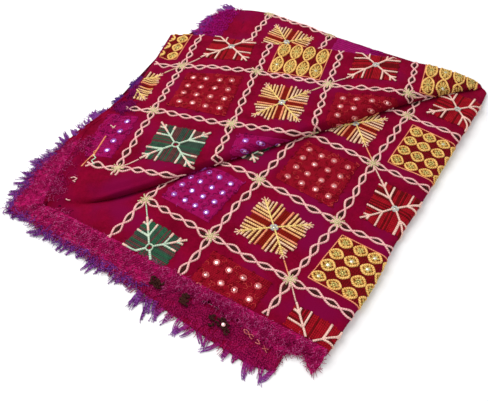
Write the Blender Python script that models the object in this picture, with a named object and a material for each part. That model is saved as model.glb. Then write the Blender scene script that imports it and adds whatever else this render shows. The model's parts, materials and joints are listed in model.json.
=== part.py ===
"""An embroidered dupatta, folded lengthwise and laid down in a turn.

The cloth runs from its fringed front end to a tip at the right, is folded back over itself there
and runs to the left again. Every section crosses all the stretches: it starts at the right fold,
crosses the front wing to the crease, then the upper wing to its far edge and then the back layer.
The rest plane is z = 0 and the origin lies on it, under the middle of the stack.
"""

import math
import random
from collections import namedtuple

import bpy
import numpy as np

# Driving dimensions, in metres
CLOTH = 0.0020           # a wall of embroidered cloth
GAP = 0.0003             # between two pieces that touch
SEAM = 0.00025           # from the crease line to the edge of either wing
CORE_GAP = 0.0007        # between the hidden layers and the cloth over them
RIGHT_ROUND = 0.0100     # how far the right fold takes to turn down
FAR_ROUND = 0.0080       # the same at the far edge of the upper wing
BACK_ROUND = 0.0060      # the same at the back layer
FLOOR_RIM = 0.0015       # the height at which a fold that turns down ends
UNDER_THICK = 0.0030     # the lower layer where it shows at the front
PLAIN_FROM = 0.72        # where along the cloth the crease opens into the plain border
TIP_FROM = 0.012         # where the two wings start, at the tip
BACK_FROM = 0.15         # where the back layer starts to show
BACK_TO = 0.93           # where its fringed end lies
END_DROP = 0.0065        # how much further along the upper wing's rim drops to the lower layer
PLAIN_SHARE = 0.33       # how much of the front end the plain border takes
PLAIN_LIP = 0.0030       # how far the plain border reaches over the front wing where it starts
LIP_FROM, LIP_TO = PLAIN_FROM - 0.008, PLAIN_FROM - 0.001
PLAIN_START = 0.0060     # where the plain border's rows start, past the crease line
FRONT_STEPS = 11         # points across the front wing, less its rounded fold
UPPER_STEPS = 11         # the same for the upper wing and the plain border
BACK_STEPS = 5           # the same for the back layer

# A row for each section, from the tip (along 0) to the fringed end (along 1)
Section = namedtuple(
    "Section",
    "along right_x right_y crease_x crease_y far_x far_y back_x back_y front_z step far_z back_z")
SECTIONS = (
    Section(0.00, 0.406, 0.226, 0.400, 0.235, 0.396, 0.241, 0.393, 0.247, 0.0070, 0.0050, 0.0120, 0.006),
    Section(0.08, 0.384, 0.187, 0.345, 0.217, 0.356, 0.254, 0.355, 0.262, 0.0135, 0.0125, 0.0260, 0.010),
    Section(0.20, 0.346, 0.131, 0.261, 0.188, 0.293, 0.274, 0.300, 0.296, 0.0150, 0.0170, 0.0315, 0.013),
    Section(0.35, 0.299, 0.061, 0.157, 0.143, 0.214, 0.294, 0.232, 0.331, 0.0155, 0.0180, 0.0330, 0.014),
    Section(0.50, 0.253, -0.009, 0.053, 0.100, 0.135, 0.310, 0.160, 0.372, 0.0155, 0.0170, 0.0330, 0.014),
    Section(0.65, 0.205, -0.078, -0.050, 0.056, 0.056, 0.325, 0.095, 0.416, 0.0150, 0.0130, 0.0320, 0.014),
    Section(0.80, 0.161, -0.151, -0.154, 0.012, -0.023, 0.344, 0.025, 0.449, 0.0135, 0.0070, 0.0310, 0.014),
    Section(0.90, 0.129, -0.194, -0.223, -0.007, -0.076, 0.356, -0.040, 0.446, 0.0120, 0.0035, 0.0290, 0.013),
    Section(1.00, 0.097, -0.238, -0.292, -0.014, -0.128, 0.363, -0.112, 0.384, 0.0105, 0.0010, 0.0260, 0.012),
)

# The nose of the crease: forward of the crease line in shares of its bulge, up in shares of the step
NOSE = ((0.0, 0.05), (0.70, 0.11), (1.0, 0.35), (0.95, 0.60), (0.45, 0.85), (-1.0, 0.96))
NOSE_BULGE = 0.30        # the bulge as a share of the step

# How far the fringed left end bows out, for shares of the way from the crease to the far edge
BOW_AT = (0.0, 0.18, 0.36, 0.50, 0.62, 0.80, 1.0)
BOW_BY = (0.0, 0.007, 0.014, -0.003, -0.013, -0.008, 0.0)
BOW_WAY = (-0.917, 0.398)

# How far the lower layer reaches past the front end, for shares of the way from left to right
UNDER_AT = (0.03, 0.13, 0.26, 0.44, 0.52, 0.68, 0.84, 0.90)
UNDER_OUT = (0.0165, 0.0215, 0.0270, 0.0340, 0.0420, 0.0490, 0.0540, 0.0450)

# The fringes: strands in each, the strip they hang from, and how long the shortest and longest are
Fringe = namedtuple("Fringe", "count strip shortest longest")
FRONT_FRINGE = Fringe(62, 0.0060, 0.013, 0.019)
UNDER_FRINGE = Fringe(66, 0.0045, 0.018, 0.027)
SIDE_FRINGE = Fringe(32, 0.0040, 0.019, 0.028)
END_FRINGE = Fringe(26, 0.0040, 0.004, 0.008)
BACK_FRINGE = Fringe(14, 0.0040, 0.015, 0.021)
SIDE_SPLIT = 0.5         # where the end fringe gives way to the side fringe, of the left end's length
LOWEST = 0.0006          # the underside of a strand that lies beside the floor

# The edges of the hidden layers step down past the fringed end: out from the end, and height kept
Ledge = namedtuple("Ledge", "out level")
LEDGES = (
    Ledge(-0.0030, None),
    Ledge(-0.0026, 0.0060),
    Ledge(0.0045, 0.0057),
    Ledge(0.0050, 0.0032),
    Ledge(0.0088, 0.0029),
)
UNDER_FROM = 0.0092      # where the lower layer starts, past the end of the hidden layers


def smooth(share):
    share = min(max(share, 0.0), 1.0)
    return share * share * (3 - 2 * share)


def spread(start, end, count):
    """Places from start to end, closer together at the start."""
    return [start + (end - start) * (i / (count - 1)) ** 1.5 for i in range(count)]


def table_value(keys, values, at):
    return float(np.interp(at, keys, values))


def row_value(column, along):
    """A column of the section table at any place along the cloth, as a smooth curve."""
    keys = [row.along for row in SECTIONS]
    values = [getattr(row, column) for row in SECTIONS]
    along_in = min(max(along, 0.0), 1.0)
    index = min(max(int(np.searchsorted(keys, along_in)) - 1, 0), len(keys) - 2)

    def slope(i):
        low, high = max(i - 1, 0), min(i + 1, len(keys) - 1)
        return (values[high] - values[low]) / (keys[high] - keys[low])

    span = keys[index + 1] - keys[index]
    share = (along_in - keys[index]) / span
    a, b = values[index], values[index + 1]
    rise_a, rise_b = slope(index) * span, slope(index + 1) * span
    cube, square = share ** 3, share ** 2
    return ((2 * cube - 3 * square + 1) * a + (cube - 2 * square + share) * rise_a
            + (3 * square - 2 * cube) * b + (cube - square) * rise_b)


class Station:
    """One section of the folded cloth: where its lines run in plan and how high it is."""

    def __init__(self, along, out=0.0):
        self.along = along
        self.right = self.plan_point("right", along, out)
        self.crease = self.plan_point("crease", along, out)
        self.far = self.plan_point("far", along, out)
        self.back = self.plan_point("back", along, out)
        self.front_width = float(np.linalg.norm(self.right - self.crease))
        self.upper_width = float(np.linalg.norm(self.far - self.crease))
        self.back_width = float(np.linalg.norm(self.back - self.far))
        self.front_way = (self.right - self.crease) / self.front_width
        self.upper_way = (self.far - self.crease) / self.upper_width
        self.back_way = (self.back - self.far) / self.back_width
        self.front_z = row_value("front_z", along)
        self.step = row_value("step", along)
        self.far_z = row_value("far_z", along)
        self.back_z = row_value("back_z", along)
        self.bow = smooth((along - 0.70) / 0.30)

    @staticmethod
    def plan_point(line, along, out):
        point = np.array([row_value(line + "_x", along), row_value(line + "_y", along)])
        if out == 0.0:
            return point
        before = np.array([row_value(line + "_x", along - 0.03), row_value(line + "_y", along - 0.03)])
        return point + out * (point - before) / np.linalg.norm(point - before)

    def place(self, across, height):
        """across is 0 at the crease, below 0 over the front wing, above 0 over the upper wing."""
        if across < 0:
            point = self.crease - self.front_way * across
        elif across <= self.upper_width:
            point = self.crease + self.upper_way * across
            bow = self.bow * table_value(BOW_AT, BOW_BY, across / self.upper_width)
            point = point + bow * np.array(BOW_WAY)
        else:
            point = self.far + self.back_way * (across - self.upper_width)
        return (float(point[0]), float(point[1]), float(height))

    def swell(self, across):
        """The slow rise and fall of the laid cloth."""
        x, y, _ = self.place(across, 0.0)
        wave = math.sin(17 * x + 9 * y + 0.6) + 0.7 * math.sin(23 * y - 14 * x + 1.9)
        return 0.0008 * wave * min(1.0, 6 * self.along)

    def front_top(self, across):
        share = min(-across / self.front_width, 1.0)
        valley = 0.0030 * smooth((self.along - 0.6) / 0.3) * (1 - smooth(-across / 0.05))
        return self.front_z + self.swell(across) * smooth(share * 5) - valley

    def upper_top(self, across):
        share = across / self.upper_width
        ramp_width = 0.012 + 0.10 * smooth((self.along - PLAIN_FROM) / 0.25)
        ramp = smooth(across / ramp_width)
        near = self.front_top(0.0) + (self.step + 0.0015 * smooth(share * 4)) * ramp
        rise = self.far_z - self.front_z - self.step
        return near + rise * smooth(share) * ramp + self.swell(across) * smooth(share * 5)

    def back_level(self):
        """The top of the hidden layers beside the upper wing."""
        if BACK_FROM <= self.along <= BACK_TO:
            return self.back_z - CLOTH - GAP
        return UNDER_THICK

    def rim_level(self):
        """Where the far edge's rim ends. It drops just past the back layer's own end."""
        if BACK_FROM <= self.along <= BACK_TO + END_DROP:
            return self.back_z - CLOTH
        return UNDER_THICK + GAP

    def front_line(self, start):
        """The front wing's outer side, from start to the rim of the right fold."""
        reach = -self.front_width
        turn = min(RIGHT_ROUND, 0.45 * self.front_width)
        flat = np.linspace(start, reach + turn, FRONT_STEPS)
        line = [(float(a), self.front_top(float(a))) for a in flat]
        top = line[-1][1]
        middle, half = (top + FLOOR_RIM) / 2, (top - FLOOR_RIM) / 2
        for degrees in (60, 30, 0, -32, -62):
            angle = math.radians(degrees)
            line.append((reach + turn - turn * math.cos(angle), middle + half * math.sin(angle)))
        return line

    def plateau(self, start, steps):
        """The upper wing's top from start, and its far edge turned down."""
        turn = min(FAR_ROUND, 0.3 * self.upper_width)
        line = []
        for a in spread(start, self.upper_width - turn, steps):
            line.append((a, self.upper_top(a)))
        top = line[-1][1]
        foot = self.rim_level()
        drop = 0.6 * (top - foot)
        edge = self.upper_width - SEAM
        for degrees in (62, 32, 0):
            angle = math.radians(degrees)
            line.append((edge - turn + turn * math.cos(angle), top - drop + drop * math.sin(angle)))
        line.append((edge, foot))
        return line

    def upper_line(self):
        """The upper wing's outer side: its rim, its nose, its top and its far edge."""
        base = self.front_top(0.0)
        bulge = NOSE_BULGE * self.step
        line = [(SEAM, base - CLOTH)]
        for forward, up in NOSE:
            line.append((SEAM - forward * bulge, base + up * self.step))
        return line + self.plateau(SEAM + 2.6 * bulge, UPPER_STEPS)

    def plain_line(self):
        """The plain border: from the front wing's edge over the soft valley to the far edge."""
        start = -plain_width(self) + SEAM
        front = [(float(a), self.front_top(float(a))) for a in np.linspace(start, -0.0008, 6)]
        return front + self.plateau(PLAIN_START, UPPER_STEPS)

    def back_line(self):
        """The back layer: from the upper wing's far edge to its own, turned down."""
        turn = min(BACK_ROUND, 0.4 * self.back_width)
        start, end = self.upper_width + SEAM, self.upper_width + self.back_width
        line = [(float(a), self.back_z) for a in np.linspace(start, end - turn, BACK_STEPS)]
        middle, half = (self.back_z + FLOOR_RIM) / 2, (self.back_z - FLOOR_RIM) / 2
        for degrees in (55, 20, -20, -60):
            angle = math.radians(degrees)
            line.append((end - turn + turn * math.cos(angle), middle + half * math.sin(angle)))
        return line

    def core_ring(self, level=None):
        """The hidden layers, all round, from the floor at the right to the floor at the back."""
        inset = CLOTH + CORE_GAP
        front = offset(self.front_line(-SEAM), inset)
        ring = [(front[-1][0] + 0.0006, 0.0)] + front[::-1]
        ring[-1] = (0.0, self.front_top(0.0) - inset)
        ring.append((SEAM + inset, self.front_top(0.0) - inset))
        turn = min(FAR_ROUND, 0.3 * self.upper_width)
        first = SEAM + inset + 0.0006 if self.along < PLAIN_FROM else PLAIN_START
        for across in spread(first, self.upper_width - turn, UPPER_STEPS):
            slope = (self.upper_top(across + 0.004) - self.upper_top(across - 0.004)) / 0.008
            sink = inset + 0.003 * abs(slope) + 0.0012 * (1 - smooth((across - first) / 0.006))
            ring.append((across, self.upper_top(across) - sink))
        edge = self.upper_width - SEAM - inset
        foot = self.back_level()
        shoulder = foot + 0.45 * (ring[-1][1] - foot)
        ring.append((edge - 0.0006, max(shoulder - 0.002, foot + 0.0002)))
        ring.append((edge, foot))
        tail = self.back_width - min(BACK_ROUND, 0.4 * self.back_width) - inset
        end = self.upper_width + max(tail, 0.002)
        for share in (0.25, 0.5, 0.75, 1.0):
            ring.append((edge + (end - edge) * share, foot))
        ring.append((end + 0.0008, 0.5 * foot))
        ring.append((end, 0.0))
        middle = [(float(a), 0.0) for a in np.linspace(end, ring[0][0], 6)[1:-1]]
        ring += middle
        if level is not None:
            ring = [(a, min(z, level)) for a, z in ring]
        return ring


def plain_width(station):
    """How far the plain border reaches over the front wing from the crease."""
    share = max(station.along - PLAIN_FROM, 0.0) / (1 - PLAIN_FROM)
    lip = PLAIN_LIP * smooth((station.along - LIP_FROM) / (LIP_TO - LIP_FROM))
    return lip + station.front_width * PLAIN_SHARE * share ** 1.15


def offset(line, distance):
    """The line moved to its inner side. Its outer side is on the left of the way it runs."""
    points = np.array(line)
    runs = np.diff(points, axis=0)
    runs /= np.linalg.norm(runs, axis=1)[:, None]
    inward = np.stack([runs[:, 1], -runs[:, 0]], axis=1)
    if points[-1][0] < points[0][0]:
        inward = -inward
    moved = []
    for i, point in enumerate(points):
        before = inward[max(i - 1, 0)]
        after = inward[min(i, len(inward) - 1)]
        middle = before + after
        middle /= np.linalg.norm(middle)
        moved.append(tuple(point + middle * distance / max(float(middle @ before), 0.6)))
    return [(float(a), float(z)) for a, z in moved]


def wall_ring(line):
    return list(line) + offset(line, CLOTH)[::-1]


def add_object(name, points, faces, colour, roughness):
    mesh = bpy.data.meshes.new(name)
    mesh.from_pydata(points, [], faces)
    mesh.validate()
    material = bpy.data.materials.new(name + "_cloth")
    material.use_nodes = True
    shader = material.node_tree.nodes["Principled BSDF"]
    shader.inputs["Base Color"].default_value = (*colour, 1.0)
    shader.inputs["Roughness"].default_value = roughness
    shader.inputs["Metallic"].default_value = 0.0
    mesh.materials.append(material)
    piece = bpy.data.objects.new(name, mesh)
    bpy.context.scene.collection.objects.link(piece)
    turn_outward(piece)
    mesh.shade_smooth()
    return piece


def turn_outward(piece):
    """Turns the faces out, whichever way round the sections ran."""
    mesh = piece.data
    mesh.calc_loop_triangles()
    volume = 0.0
    for triangle in mesh.loop_triangles:
        a, b, c = (mesh.vertices[i].co for i in triangle.vertices)
        volume += a.dot(b.cross(c))
    if volume < 0:
        mesh.flip_normals()


def loft(name, rings, colour, roughness=0.8):
    """A closed solid through rings of equal count, with flat ends."""
    count = len(rings[0])
    points = [point for ring in rings for point in ring]
    faces = []
    for r in range(len(rings) - 1):
        for i in range(count):
            j = (i + 1) % count
            faces.append((r * count + i, r * count + j, (r + 1) * count + j, (r + 1) * count + i))
    last = (len(rings) - 1) * count
    faces.append(tuple(range(count - 1, -1, -1)))
    faces.append(tuple(last + i for i in range(count)))
    return add_object(name, points, faces, colour, roughness)


def wall_loft(name, rings, colour):
    """A wall through its sections: each end is closed by a strip between its two sides."""
    count = len(rings[0])
    half = count // 2
    points = [point for ring in rings for point in ring]
    faces = []
    for r in range(len(rings) - 1):
        for i in range(count):
            j = (i + 1) % count
            faces.append((r * count + i, r * count + j, (r + 1) * count + j, (r + 1) * count + i))
    last = (len(rings) - 1) * count
    for i in range(half - 1):
        mirror = count - 1 - i
        faces.append((i + 1, i, mirror, mirror - 1))
        faces.append((last + i, last + i + 1, last + mirror - 1, last + mirror))
    return add_object(name, points, faces, colour, 0.8)


def stations(first, last, count):
    return [Station(float(a)) for a in np.linspace(first, last, count)]


def placed(station, ring):
    return [station.place(a, z) for a, z in ring]


def plain_keys(drop):
    """The sections of the plain border. Those of the hidden layers below it drop a little sooner."""
    even = list(np.linspace(PLAIN_FROM + 0.003, BACK_TO, 9))
    return even + [BACK_TO + drop * END_DROP, BACK_TO + (drop + 0.8) * END_DROP, 0.97]


def hidden_layers():
    rings = []
    keys = [0.055, 0.095] + list(np.linspace(0.145, 0.69, 13)) + plain_keys(0.8)
    for along in keys:
        station = Station(float(along))
        rings.append(placed(station, station.core_ring()))
    for ledge in LEDGES:
        station = Station(1.0, ledge.out)
        rings.append(placed(station, station.core_ring(ledge.level)))
    loft("hidden_layers", rings, (0.16, 0.004, 0.03))


def front_wing():
    rings = []
    keys = list(np.linspace(TIP_FROM, LIP_FROM, 19)) + [LIP_TO] + list(np.linspace(PLAIN_FROM + 0.02, 1.0, 9))
    for station in [Station(float(along)) for along in keys]:
        start = -SEAM - plain_width(station)
        rings.append(placed(station, wall_ring(station.front_line(start))))
    wall_loft("front_wing", rings, (0.27, 0.003, 0.04))


def upper_wing():
    rings = [placed(s, wall_ring(s.upper_line())) for s in stations(TIP_FROM, PLAIN_FROM, 20)]
    wall_loft("upper_wing", rings, (0.27, 0.003, 0.04))


def plain_border():
    rings = []
    for along in plain_keys(1.0) + [1.0]:
        station = Station(float(along))
        rings.append(placed(station, wall_ring(station.plain_line())))
    wall_loft("plain_border", rings, (0.25, 0.0, 0.035))


def back_layer():
    rings = [placed(s, wall_ring(s.back_line())) for s in stations(BACK_FROM, BACK_TO, 18)]
    wall_loft("back_layer", rings, (0.25, 0.0, 0.035))


def front_edge(share, out):
    """A point off the fringed front end, from the left tip to the right fold."""
    end = Station(1.0)
    way = (end.right - end.crease) / np.linalg.norm(end.right - end.crease)
    outward = np.array([way[1], -way[0]])
    return end.crease + way * share * end.front_width + outward * out


def under_layer():
    rings = []
    for share in np.linspace(UNDER_AT[0], UNDER_AT[-1], 18):
        reach = table_value(UNDER_AT, UNDER_OUT, share)
        ring = []
        for out, z in ((UNDER_FROM, 0.0), (UNDER_FROM, UNDER_THICK), (reach, UNDER_THICK), (reach, 0.0)):
            x, y = front_edge(float(share), out)
            ring.append((float(x), float(y), z))
        rings.append(ring)
    loft("under_layer", rings, (0.25, 0.0, 0.035))


def fringe(name, kind, roots, tips, lengths, seed):
    """A strip with strands. roots holds plan point, low and high; tips the height of each end."""
    random.seed(seed)
    count = len(roots) - 1
    plan = np.array([row[0] for row in roots])
    ways = np.gradient(plan, axis=0)
    outward = np.stack([ways[:, 1], -ways[:, 0]], axis=1)
    outward /= np.linalg.norm(outward, axis=1)[:, None]
    points, faces = [], []
    for (point, low, high), way in zip(roots, outward):
        edge = point + way * kind.strip
        points += [(*point, low), (*point, high), (*edge, high), (*edge, low)]
    for i in range(count):
        a, b = 4 * i, 4 * i + 4
        faces += [(a, a + 1, b + 1, b), (a + 1, a + 2, b + 2, b + 1), (a + 3, a, b, b + 3)]
    faces += [(3, 2, 1, 0), (4 * count, 4 * count + 1, 4 * count + 2, 4 * count + 3)]
    for i in range(count):
        quad = [4 * i + 3, 4 * i + 7, 4 * i + 6, 4 * i + 2]
        corners = np.array([points[k] for k in quad])
        middle = corners.mean(axis=0)
        way = np.append((outward[i] + outward[i + 1]) / 2, 0.0)
        side = np.array([-way[1], way[0], 0.0])
        pitch = float(np.linalg.norm(plan[i + 1] - plan[i]))
        length = lengths(i / count) * random.uniform(kind.shortest, kind.longest)
        lean = pitch * random.uniform(-0.55, 0.55)
        knee = middle + way * length * 0.5 + side * lean * 0.2
        knee[2] = 0.55 * middle[2] + 0.45 * tips
        knee[2] = max(knee[2], LOWEST + 0.0007)
        tip = middle + way * length + side * lean
        tip[2] = tips
        base = len(points)
        for corner in corners:
            points.append(tuple(knee + (corner - middle) * np.array([0.55, 0.55, 0.5])))
        points.append(tuple(tip))
        for k in range(4):
            n = (k + 1) % 4
            faces.append((quad[k], quad[n], base + n, base + k))
            faces.append((base + k, base + n, base + 4))
    points = [(float(x), float(y), float(z)) for x, y, z in points]
    add_object(name, points, faces, (0.2, 0.01, 0.13), 0.9)


def front_fringe():
    end = Station(1.0)
    roots = []
    for share in np.linspace(0.004, 0.97, FRONT_FRINGE.count + 1):
        top = end.front_top(-float(share) * end.front_width)
        roots.append((front_edge(float(share), 0.0005), 0.0066, max(top - GAP, 0.0084)))
    fringe("front_fringe", FRONT_FRINGE, roots, 0.0044, lambda share: 1.0 + 0.5 * smooth((share - 0.92) / 0.05), 3)


def under_fringe():
    roots = []
    for share in np.linspace(UNDER_AT[0], UNDER_AT[-1], UNDER_FRINGE.count + 1):
        reach = table_value(UNDER_AT, UNDER_OUT, share) + 0.0008
        roots.append((front_edge(float(share), reach), LOWEST, 0.0028))
    fringe("under_fringe", UNDER_FRINGE, roots, 0.0009, lambda share: 0.5 + 0.5 * smooth((share - 0.42) / 0.10), 5)


def left_fringe(name, kind, first, last, seed):
    """It follows the straight stretches between the points of the hidden layers' lowest edge."""
    end = Station(1.0, LEDGES[-1].out)
    bends = spread(PLAIN_START, end.upper_width - FAR_ROUND, UPPER_STEPS)[::-1]
    line = np.array([end.place(across, 0.0)[:2] for across in bends])
    runs = np.diff(line, axis=0)
    outward = np.stack([runs[:, 1], -runs[:, 0]], axis=1) / np.linalg.norm(runs, axis=1)[:, None]
    passed = np.concatenate([[0.0], np.cumsum(np.linalg.norm(runs, axis=1))])
    roots = []
    for at in np.linspace(first * passed[-1], last * passed[-1], kind.count + 1):
        point = np.array([np.interp(at, passed, line[:, 0]), np.interp(at, passed, line[:, 1])])
        run = min(int(np.searchsorted(passed, at, side="right")) - 1, len(runs) - 1)
        roots.append((point + outward[run] * 2 * GAP, LOWEST, 0.0030))
    fringe(name, kind, roots, 0.0009, lambda share: 1.0, seed)


def side_fringe():
    left_fringe("side_fringe", SIDE_FRINGE, SIDE_SPLIT, 1.0, 7)


def end_fringe():
    left_fringe("end_fringe", END_FRINGE, 0.0, SIDE_SPLIT - 0.01, 11)


def back_fringe():
    end = Station(BACK_TO)
    left = np.array([-end.back_way[1], end.back_way[0]])
    roots = []
    for across in np.linspace(end.back_width - 0.008, 0.005, BACK_FRINGE.count + 1):
        point = end.far + end.back_way * across + left * 0.0006
        roots.append((point, end.back_z - CLOTH, end.back_z - GAP))
    fringe("back_fringe", BACK_FRINGE, roots, 0.0046, lambda share: 1.0, 9)


for old in list(bpy.data.objects):
    bpy.data.objects.remove(old, do_unlink=True)

hidden_layers()
front_wing()
upper_wing()
plain_border()
back_layer()
under_layer()
front_fringe()
under_fringe()
side_fringe()
end_fringe()
back_fringe()
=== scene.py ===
import json
import math
import bpy
import numpy as np
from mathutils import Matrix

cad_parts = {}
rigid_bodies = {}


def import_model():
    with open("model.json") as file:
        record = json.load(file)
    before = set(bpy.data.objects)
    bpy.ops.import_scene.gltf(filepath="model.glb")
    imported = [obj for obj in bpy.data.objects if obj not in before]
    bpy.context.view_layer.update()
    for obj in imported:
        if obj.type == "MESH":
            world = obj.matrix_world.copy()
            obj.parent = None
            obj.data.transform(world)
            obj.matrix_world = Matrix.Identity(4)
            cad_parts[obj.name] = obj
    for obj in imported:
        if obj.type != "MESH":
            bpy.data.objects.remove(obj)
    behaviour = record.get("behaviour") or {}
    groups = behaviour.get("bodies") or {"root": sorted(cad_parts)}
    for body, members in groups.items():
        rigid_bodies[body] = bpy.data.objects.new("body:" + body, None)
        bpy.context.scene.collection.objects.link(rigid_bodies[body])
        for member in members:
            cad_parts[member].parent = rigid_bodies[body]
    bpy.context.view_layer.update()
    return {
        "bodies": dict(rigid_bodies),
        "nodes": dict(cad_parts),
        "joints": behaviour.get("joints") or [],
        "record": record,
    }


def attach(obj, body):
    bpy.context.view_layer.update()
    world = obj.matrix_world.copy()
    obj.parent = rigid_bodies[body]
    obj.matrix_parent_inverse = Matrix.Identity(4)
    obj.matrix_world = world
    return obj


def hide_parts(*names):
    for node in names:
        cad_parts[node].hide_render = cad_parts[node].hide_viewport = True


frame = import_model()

draw = np.random.default_rng(11)

# The fold, section by section from the tip to the fringed end, in metres
sectionNames = ("along", "rightX", "rightY", "creaseX", "creaseY", "farX", "farY", "backX", "backY",
                "frontZ", "step", "farZ", "backZ")
sections = np.array((
    (0.00, 0.406, 0.226, 0.400, 0.235, 0.396, 0.241, 0.393, 0.247, 0.0070, 0.0050, 0.0120, 0.006),
    (0.08, 0.384, 0.187, 0.345, 0.217, 0.356, 0.254, 0.355, 0.262, 0.0135, 0.0125, 0.0260, 0.010),
    (0.20, 0.346, 0.131, 0.261, 0.188, 0.293, 0.274, 0.300, 0.296, 0.0150, 0.0170, 0.0315, 0.013),
    (0.35, 0.299, 0.061, 0.157, 0.143, 0.214, 0.294, 0.232, 0.331, 0.0155, 0.0180, 0.0330, 0.014),
    (0.50, 0.253, -0.009, 0.053, 0.100, 0.135, 0.310, 0.160, 0.372, 0.0155, 0.0170, 0.0330, 0.014),
    (0.65, 0.205, -0.078, -0.050, 0.056, 0.056, 0.325, 0.095, 0.416, 0.0150, 0.0130, 0.0320, 0.014),
    (0.80, 0.161, -0.151, -0.154, 0.012, -0.023, 0.344, 0.025, 0.449, 0.0135, 0.0100, 0.0310, 0.014),
    (0.90, 0.129, -0.194, -0.223, -0.007, -0.076, 0.356, -0.040, 0.446, 0.0120, 0.0078, 0.0290, 0.013),
    (1.00, 0.097, -0.238, -0.292, -0.014, -0.128, 0.363, -0.112, 0.384, 0.0105, 0.0045, 0.0260, 0.012),
))

foldShape = {
    "thick": 0.0011,          # the cloth's own thickness
    "lowest": 0.0014,         # no face of the embroidered cloth comes nearer to the floor
    "rightRound": 0.010,      # how far the right fold takes to turn down
    "farRound": 0.008,        # the same at the far edge of the upper wing
    "backRound": 0.006,       # the same at the back layer
    "rim": 0.0015,            # height at which a turned-down fold ends
    "bulge": 0.30,            # how far the nose leans over the crease, as a share of its step
    "openFrom": 0.83,         # where the crease starts to open into a soft valley
    "valley": (0.0026, 0.05),     # how deep the front wing dips beside the crease, and how far out
    "climb": (0.012, 0.045),      # how far the upper wing takes to rise from the crease, and how much more if open
    "puff": 0.0015,           # how much the upper wing swells above its step
    "restsAt": (0.13, 0.925),     # between these the far fold comes down on the back layer
    "hang": (0.0022, 0.0030),     # how far it sinks into that layer, and its height elsewhere
    "coreInset": 0.0048,      # how deep the hidden layers lie under the cloth's face
    "bowAt": (0.0, 0.18, 0.36, 0.50, 0.62, 0.80, 1.0),    # how the fringed end of the upper wing bows out
    "bowBy": (0.0, 0.007, 0.014, -0.003, -0.013, -0.008, 0.0),
    "bowWay": np.array((-0.917, 0.398)),
    "dropAt": (0.05, 0.5, 0.7, 0.85, 0.93, 0.965, 1.0),    # how deep and how wide the crease sinks in
    "dropBy": (0.0018, 0.0042, 0.0054, 0.0080, 0.0084, 0.0070, 0.0048),
    "wideAt": (0.4, 0.8, 0.95),
    "wideBy": (0.0095, 0.013, 0.017),
    "waves": ((17, 9, 0.6, 1.0), (-14, 23, 1.9, 0.7)),    # broad swells: turns along x and y, start, share
    "waveBy": 0.0008,
}
nose = np.array((  # forward of the crease in shares of the bulge, up in shares of the step
    (0.0, 0.0), (0.32, 0.025), (0.64, 0.085), (0.87, 0.18), (0.98, 0.30), (1.0, 0.42), (0.96, 0.55),
    (0.83, 0.67), (0.60, 0.78), (0.28, 0.87), (-0.15, 0.93), (-0.80, 0.97), (-1.60, 0.99)))
rimColumns, flatColumns = 13, 66


def smooth(share):
    share = np.clip(share, 0.0, 1.0)
    return share * share * (3 - 2 * share)


def ramp(value, start, span):
    return smooth((value - start) / span)


def unit(ways):
    return ways / np.maximum(np.linalg.norm(ways, axis=-1, keepdims=True), 1e-12)


# a smooth curve through one column of the sections
def sectionValue(name, along):
    keys, values = sections[:, 0], sections[:, sectionNames.index(name)]
    at, number = np.clip(along, 0.0, 1.0), np.arange(len(keys))
    i = np.clip(np.searchsorted(keys, at) - 1, 0, len(keys) - 2)
    low, high = np.maximum(number - 1, 0), np.minimum(number + 1, len(keys) - 1)
    slopes = (values[high] - values[low]) / (keys[high] - keys[low])
    span = keys[i + 1] - keys[i]
    t = (at - keys[i]) / span
    return ((2 * t ** 3 - 3 * t ** 2 + 1) * values[i] + (t ** 3 - 2 * t ** 2 + t) * slopes[i] * span
            + (3 * t ** 2 - 2 * t ** 3) * values[i + 1] + (t ** 3 - t ** 2) * slopes[i + 1] * span)


def linePoint(line, along, out):
    point, before = (np.stack([sectionValue(line + axis, at) for axis in "XY"], axis=-1)
                     for at in (along, along - 0.03))
    run = point - before
    return point + np.reshape(out, (-1, 1)) * run / np.maximum(np.linalg.norm(run, axis=-1, keepdims=True), 1e-9)


# everything that the shape needs to know at each place along the fold, pushed out past its end by out
def layOut(along, out=0.0):
    along = np.atleast_1d(np.asarray(along, float))
    lay = {"along": along[:, None]}
    for line in ("right", "crease", "far", "back"):
        lay[line] = linePoint(line, along, out)
    for wing, end, start in (("front", "right", "crease"), ("upper", "far", "crease"), ("rear", "back", "far")):
        run = lay[end] - lay[start]
        lay[wing + "Width"] = np.linalg.norm(run, axis=1)[:, None]
        lay[wing + "Way"] = run / lay[wing + "Width"]
    for name in ("frontZ", "step", "farZ", "backZ"):
        lay[name] = sectionValue(name, along)[:, None]
    return lay


def bowed(along, share):
    return ramp(along, 0.70, 0.30) * np.interp(np.clip(share, 0, 1), foldShape["bowAt"], foldShape["bowBy"])


# across is measured from the crease: below 0 on the front wing, past the upper width on the rear layer
def placeOn(lay, across):
    width = lay["upperWidth"]
    front = lay["crease"][:, None] - across[..., None] * lay["frontWay"][:, None]
    bow = bowed(lay["along"], across / width)[..., None] * foldShape["bowWay"]
    upper = lay["crease"][:, None] + across[..., None] * lay["upperWay"][:, None] + bow
    rear = lay["far"][:, None] + (across - width)[..., None] * lay["rearWay"][:, None]
    return np.where((across < 0)[..., None], front, np.where((across <= width)[..., None], upper, rear))


def swell(lay, across):
    x, y = np.moveaxis(placeOn(lay, across), -1, 0)
    wave = sum(share * np.sin(a * x + b * y + start) for a, b, start, share in foldShape["waves"])
    return foldShape["waveBy"] * wave * np.minimum(1.0, 6 * lay["along"])


def creaseDrop(lay, across):
    depth = np.interp(lay["along"], foldShape["dropAt"], foldShape["dropBy"])
    return depth * np.exp(-(across / np.interp(lay["along"], foldShape["wideAt"], foldShape["wideBy"])) ** 2)


def opened(lay):
    return ramp(lay["along"], foldShape["openFrom"], 0.14)


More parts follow.
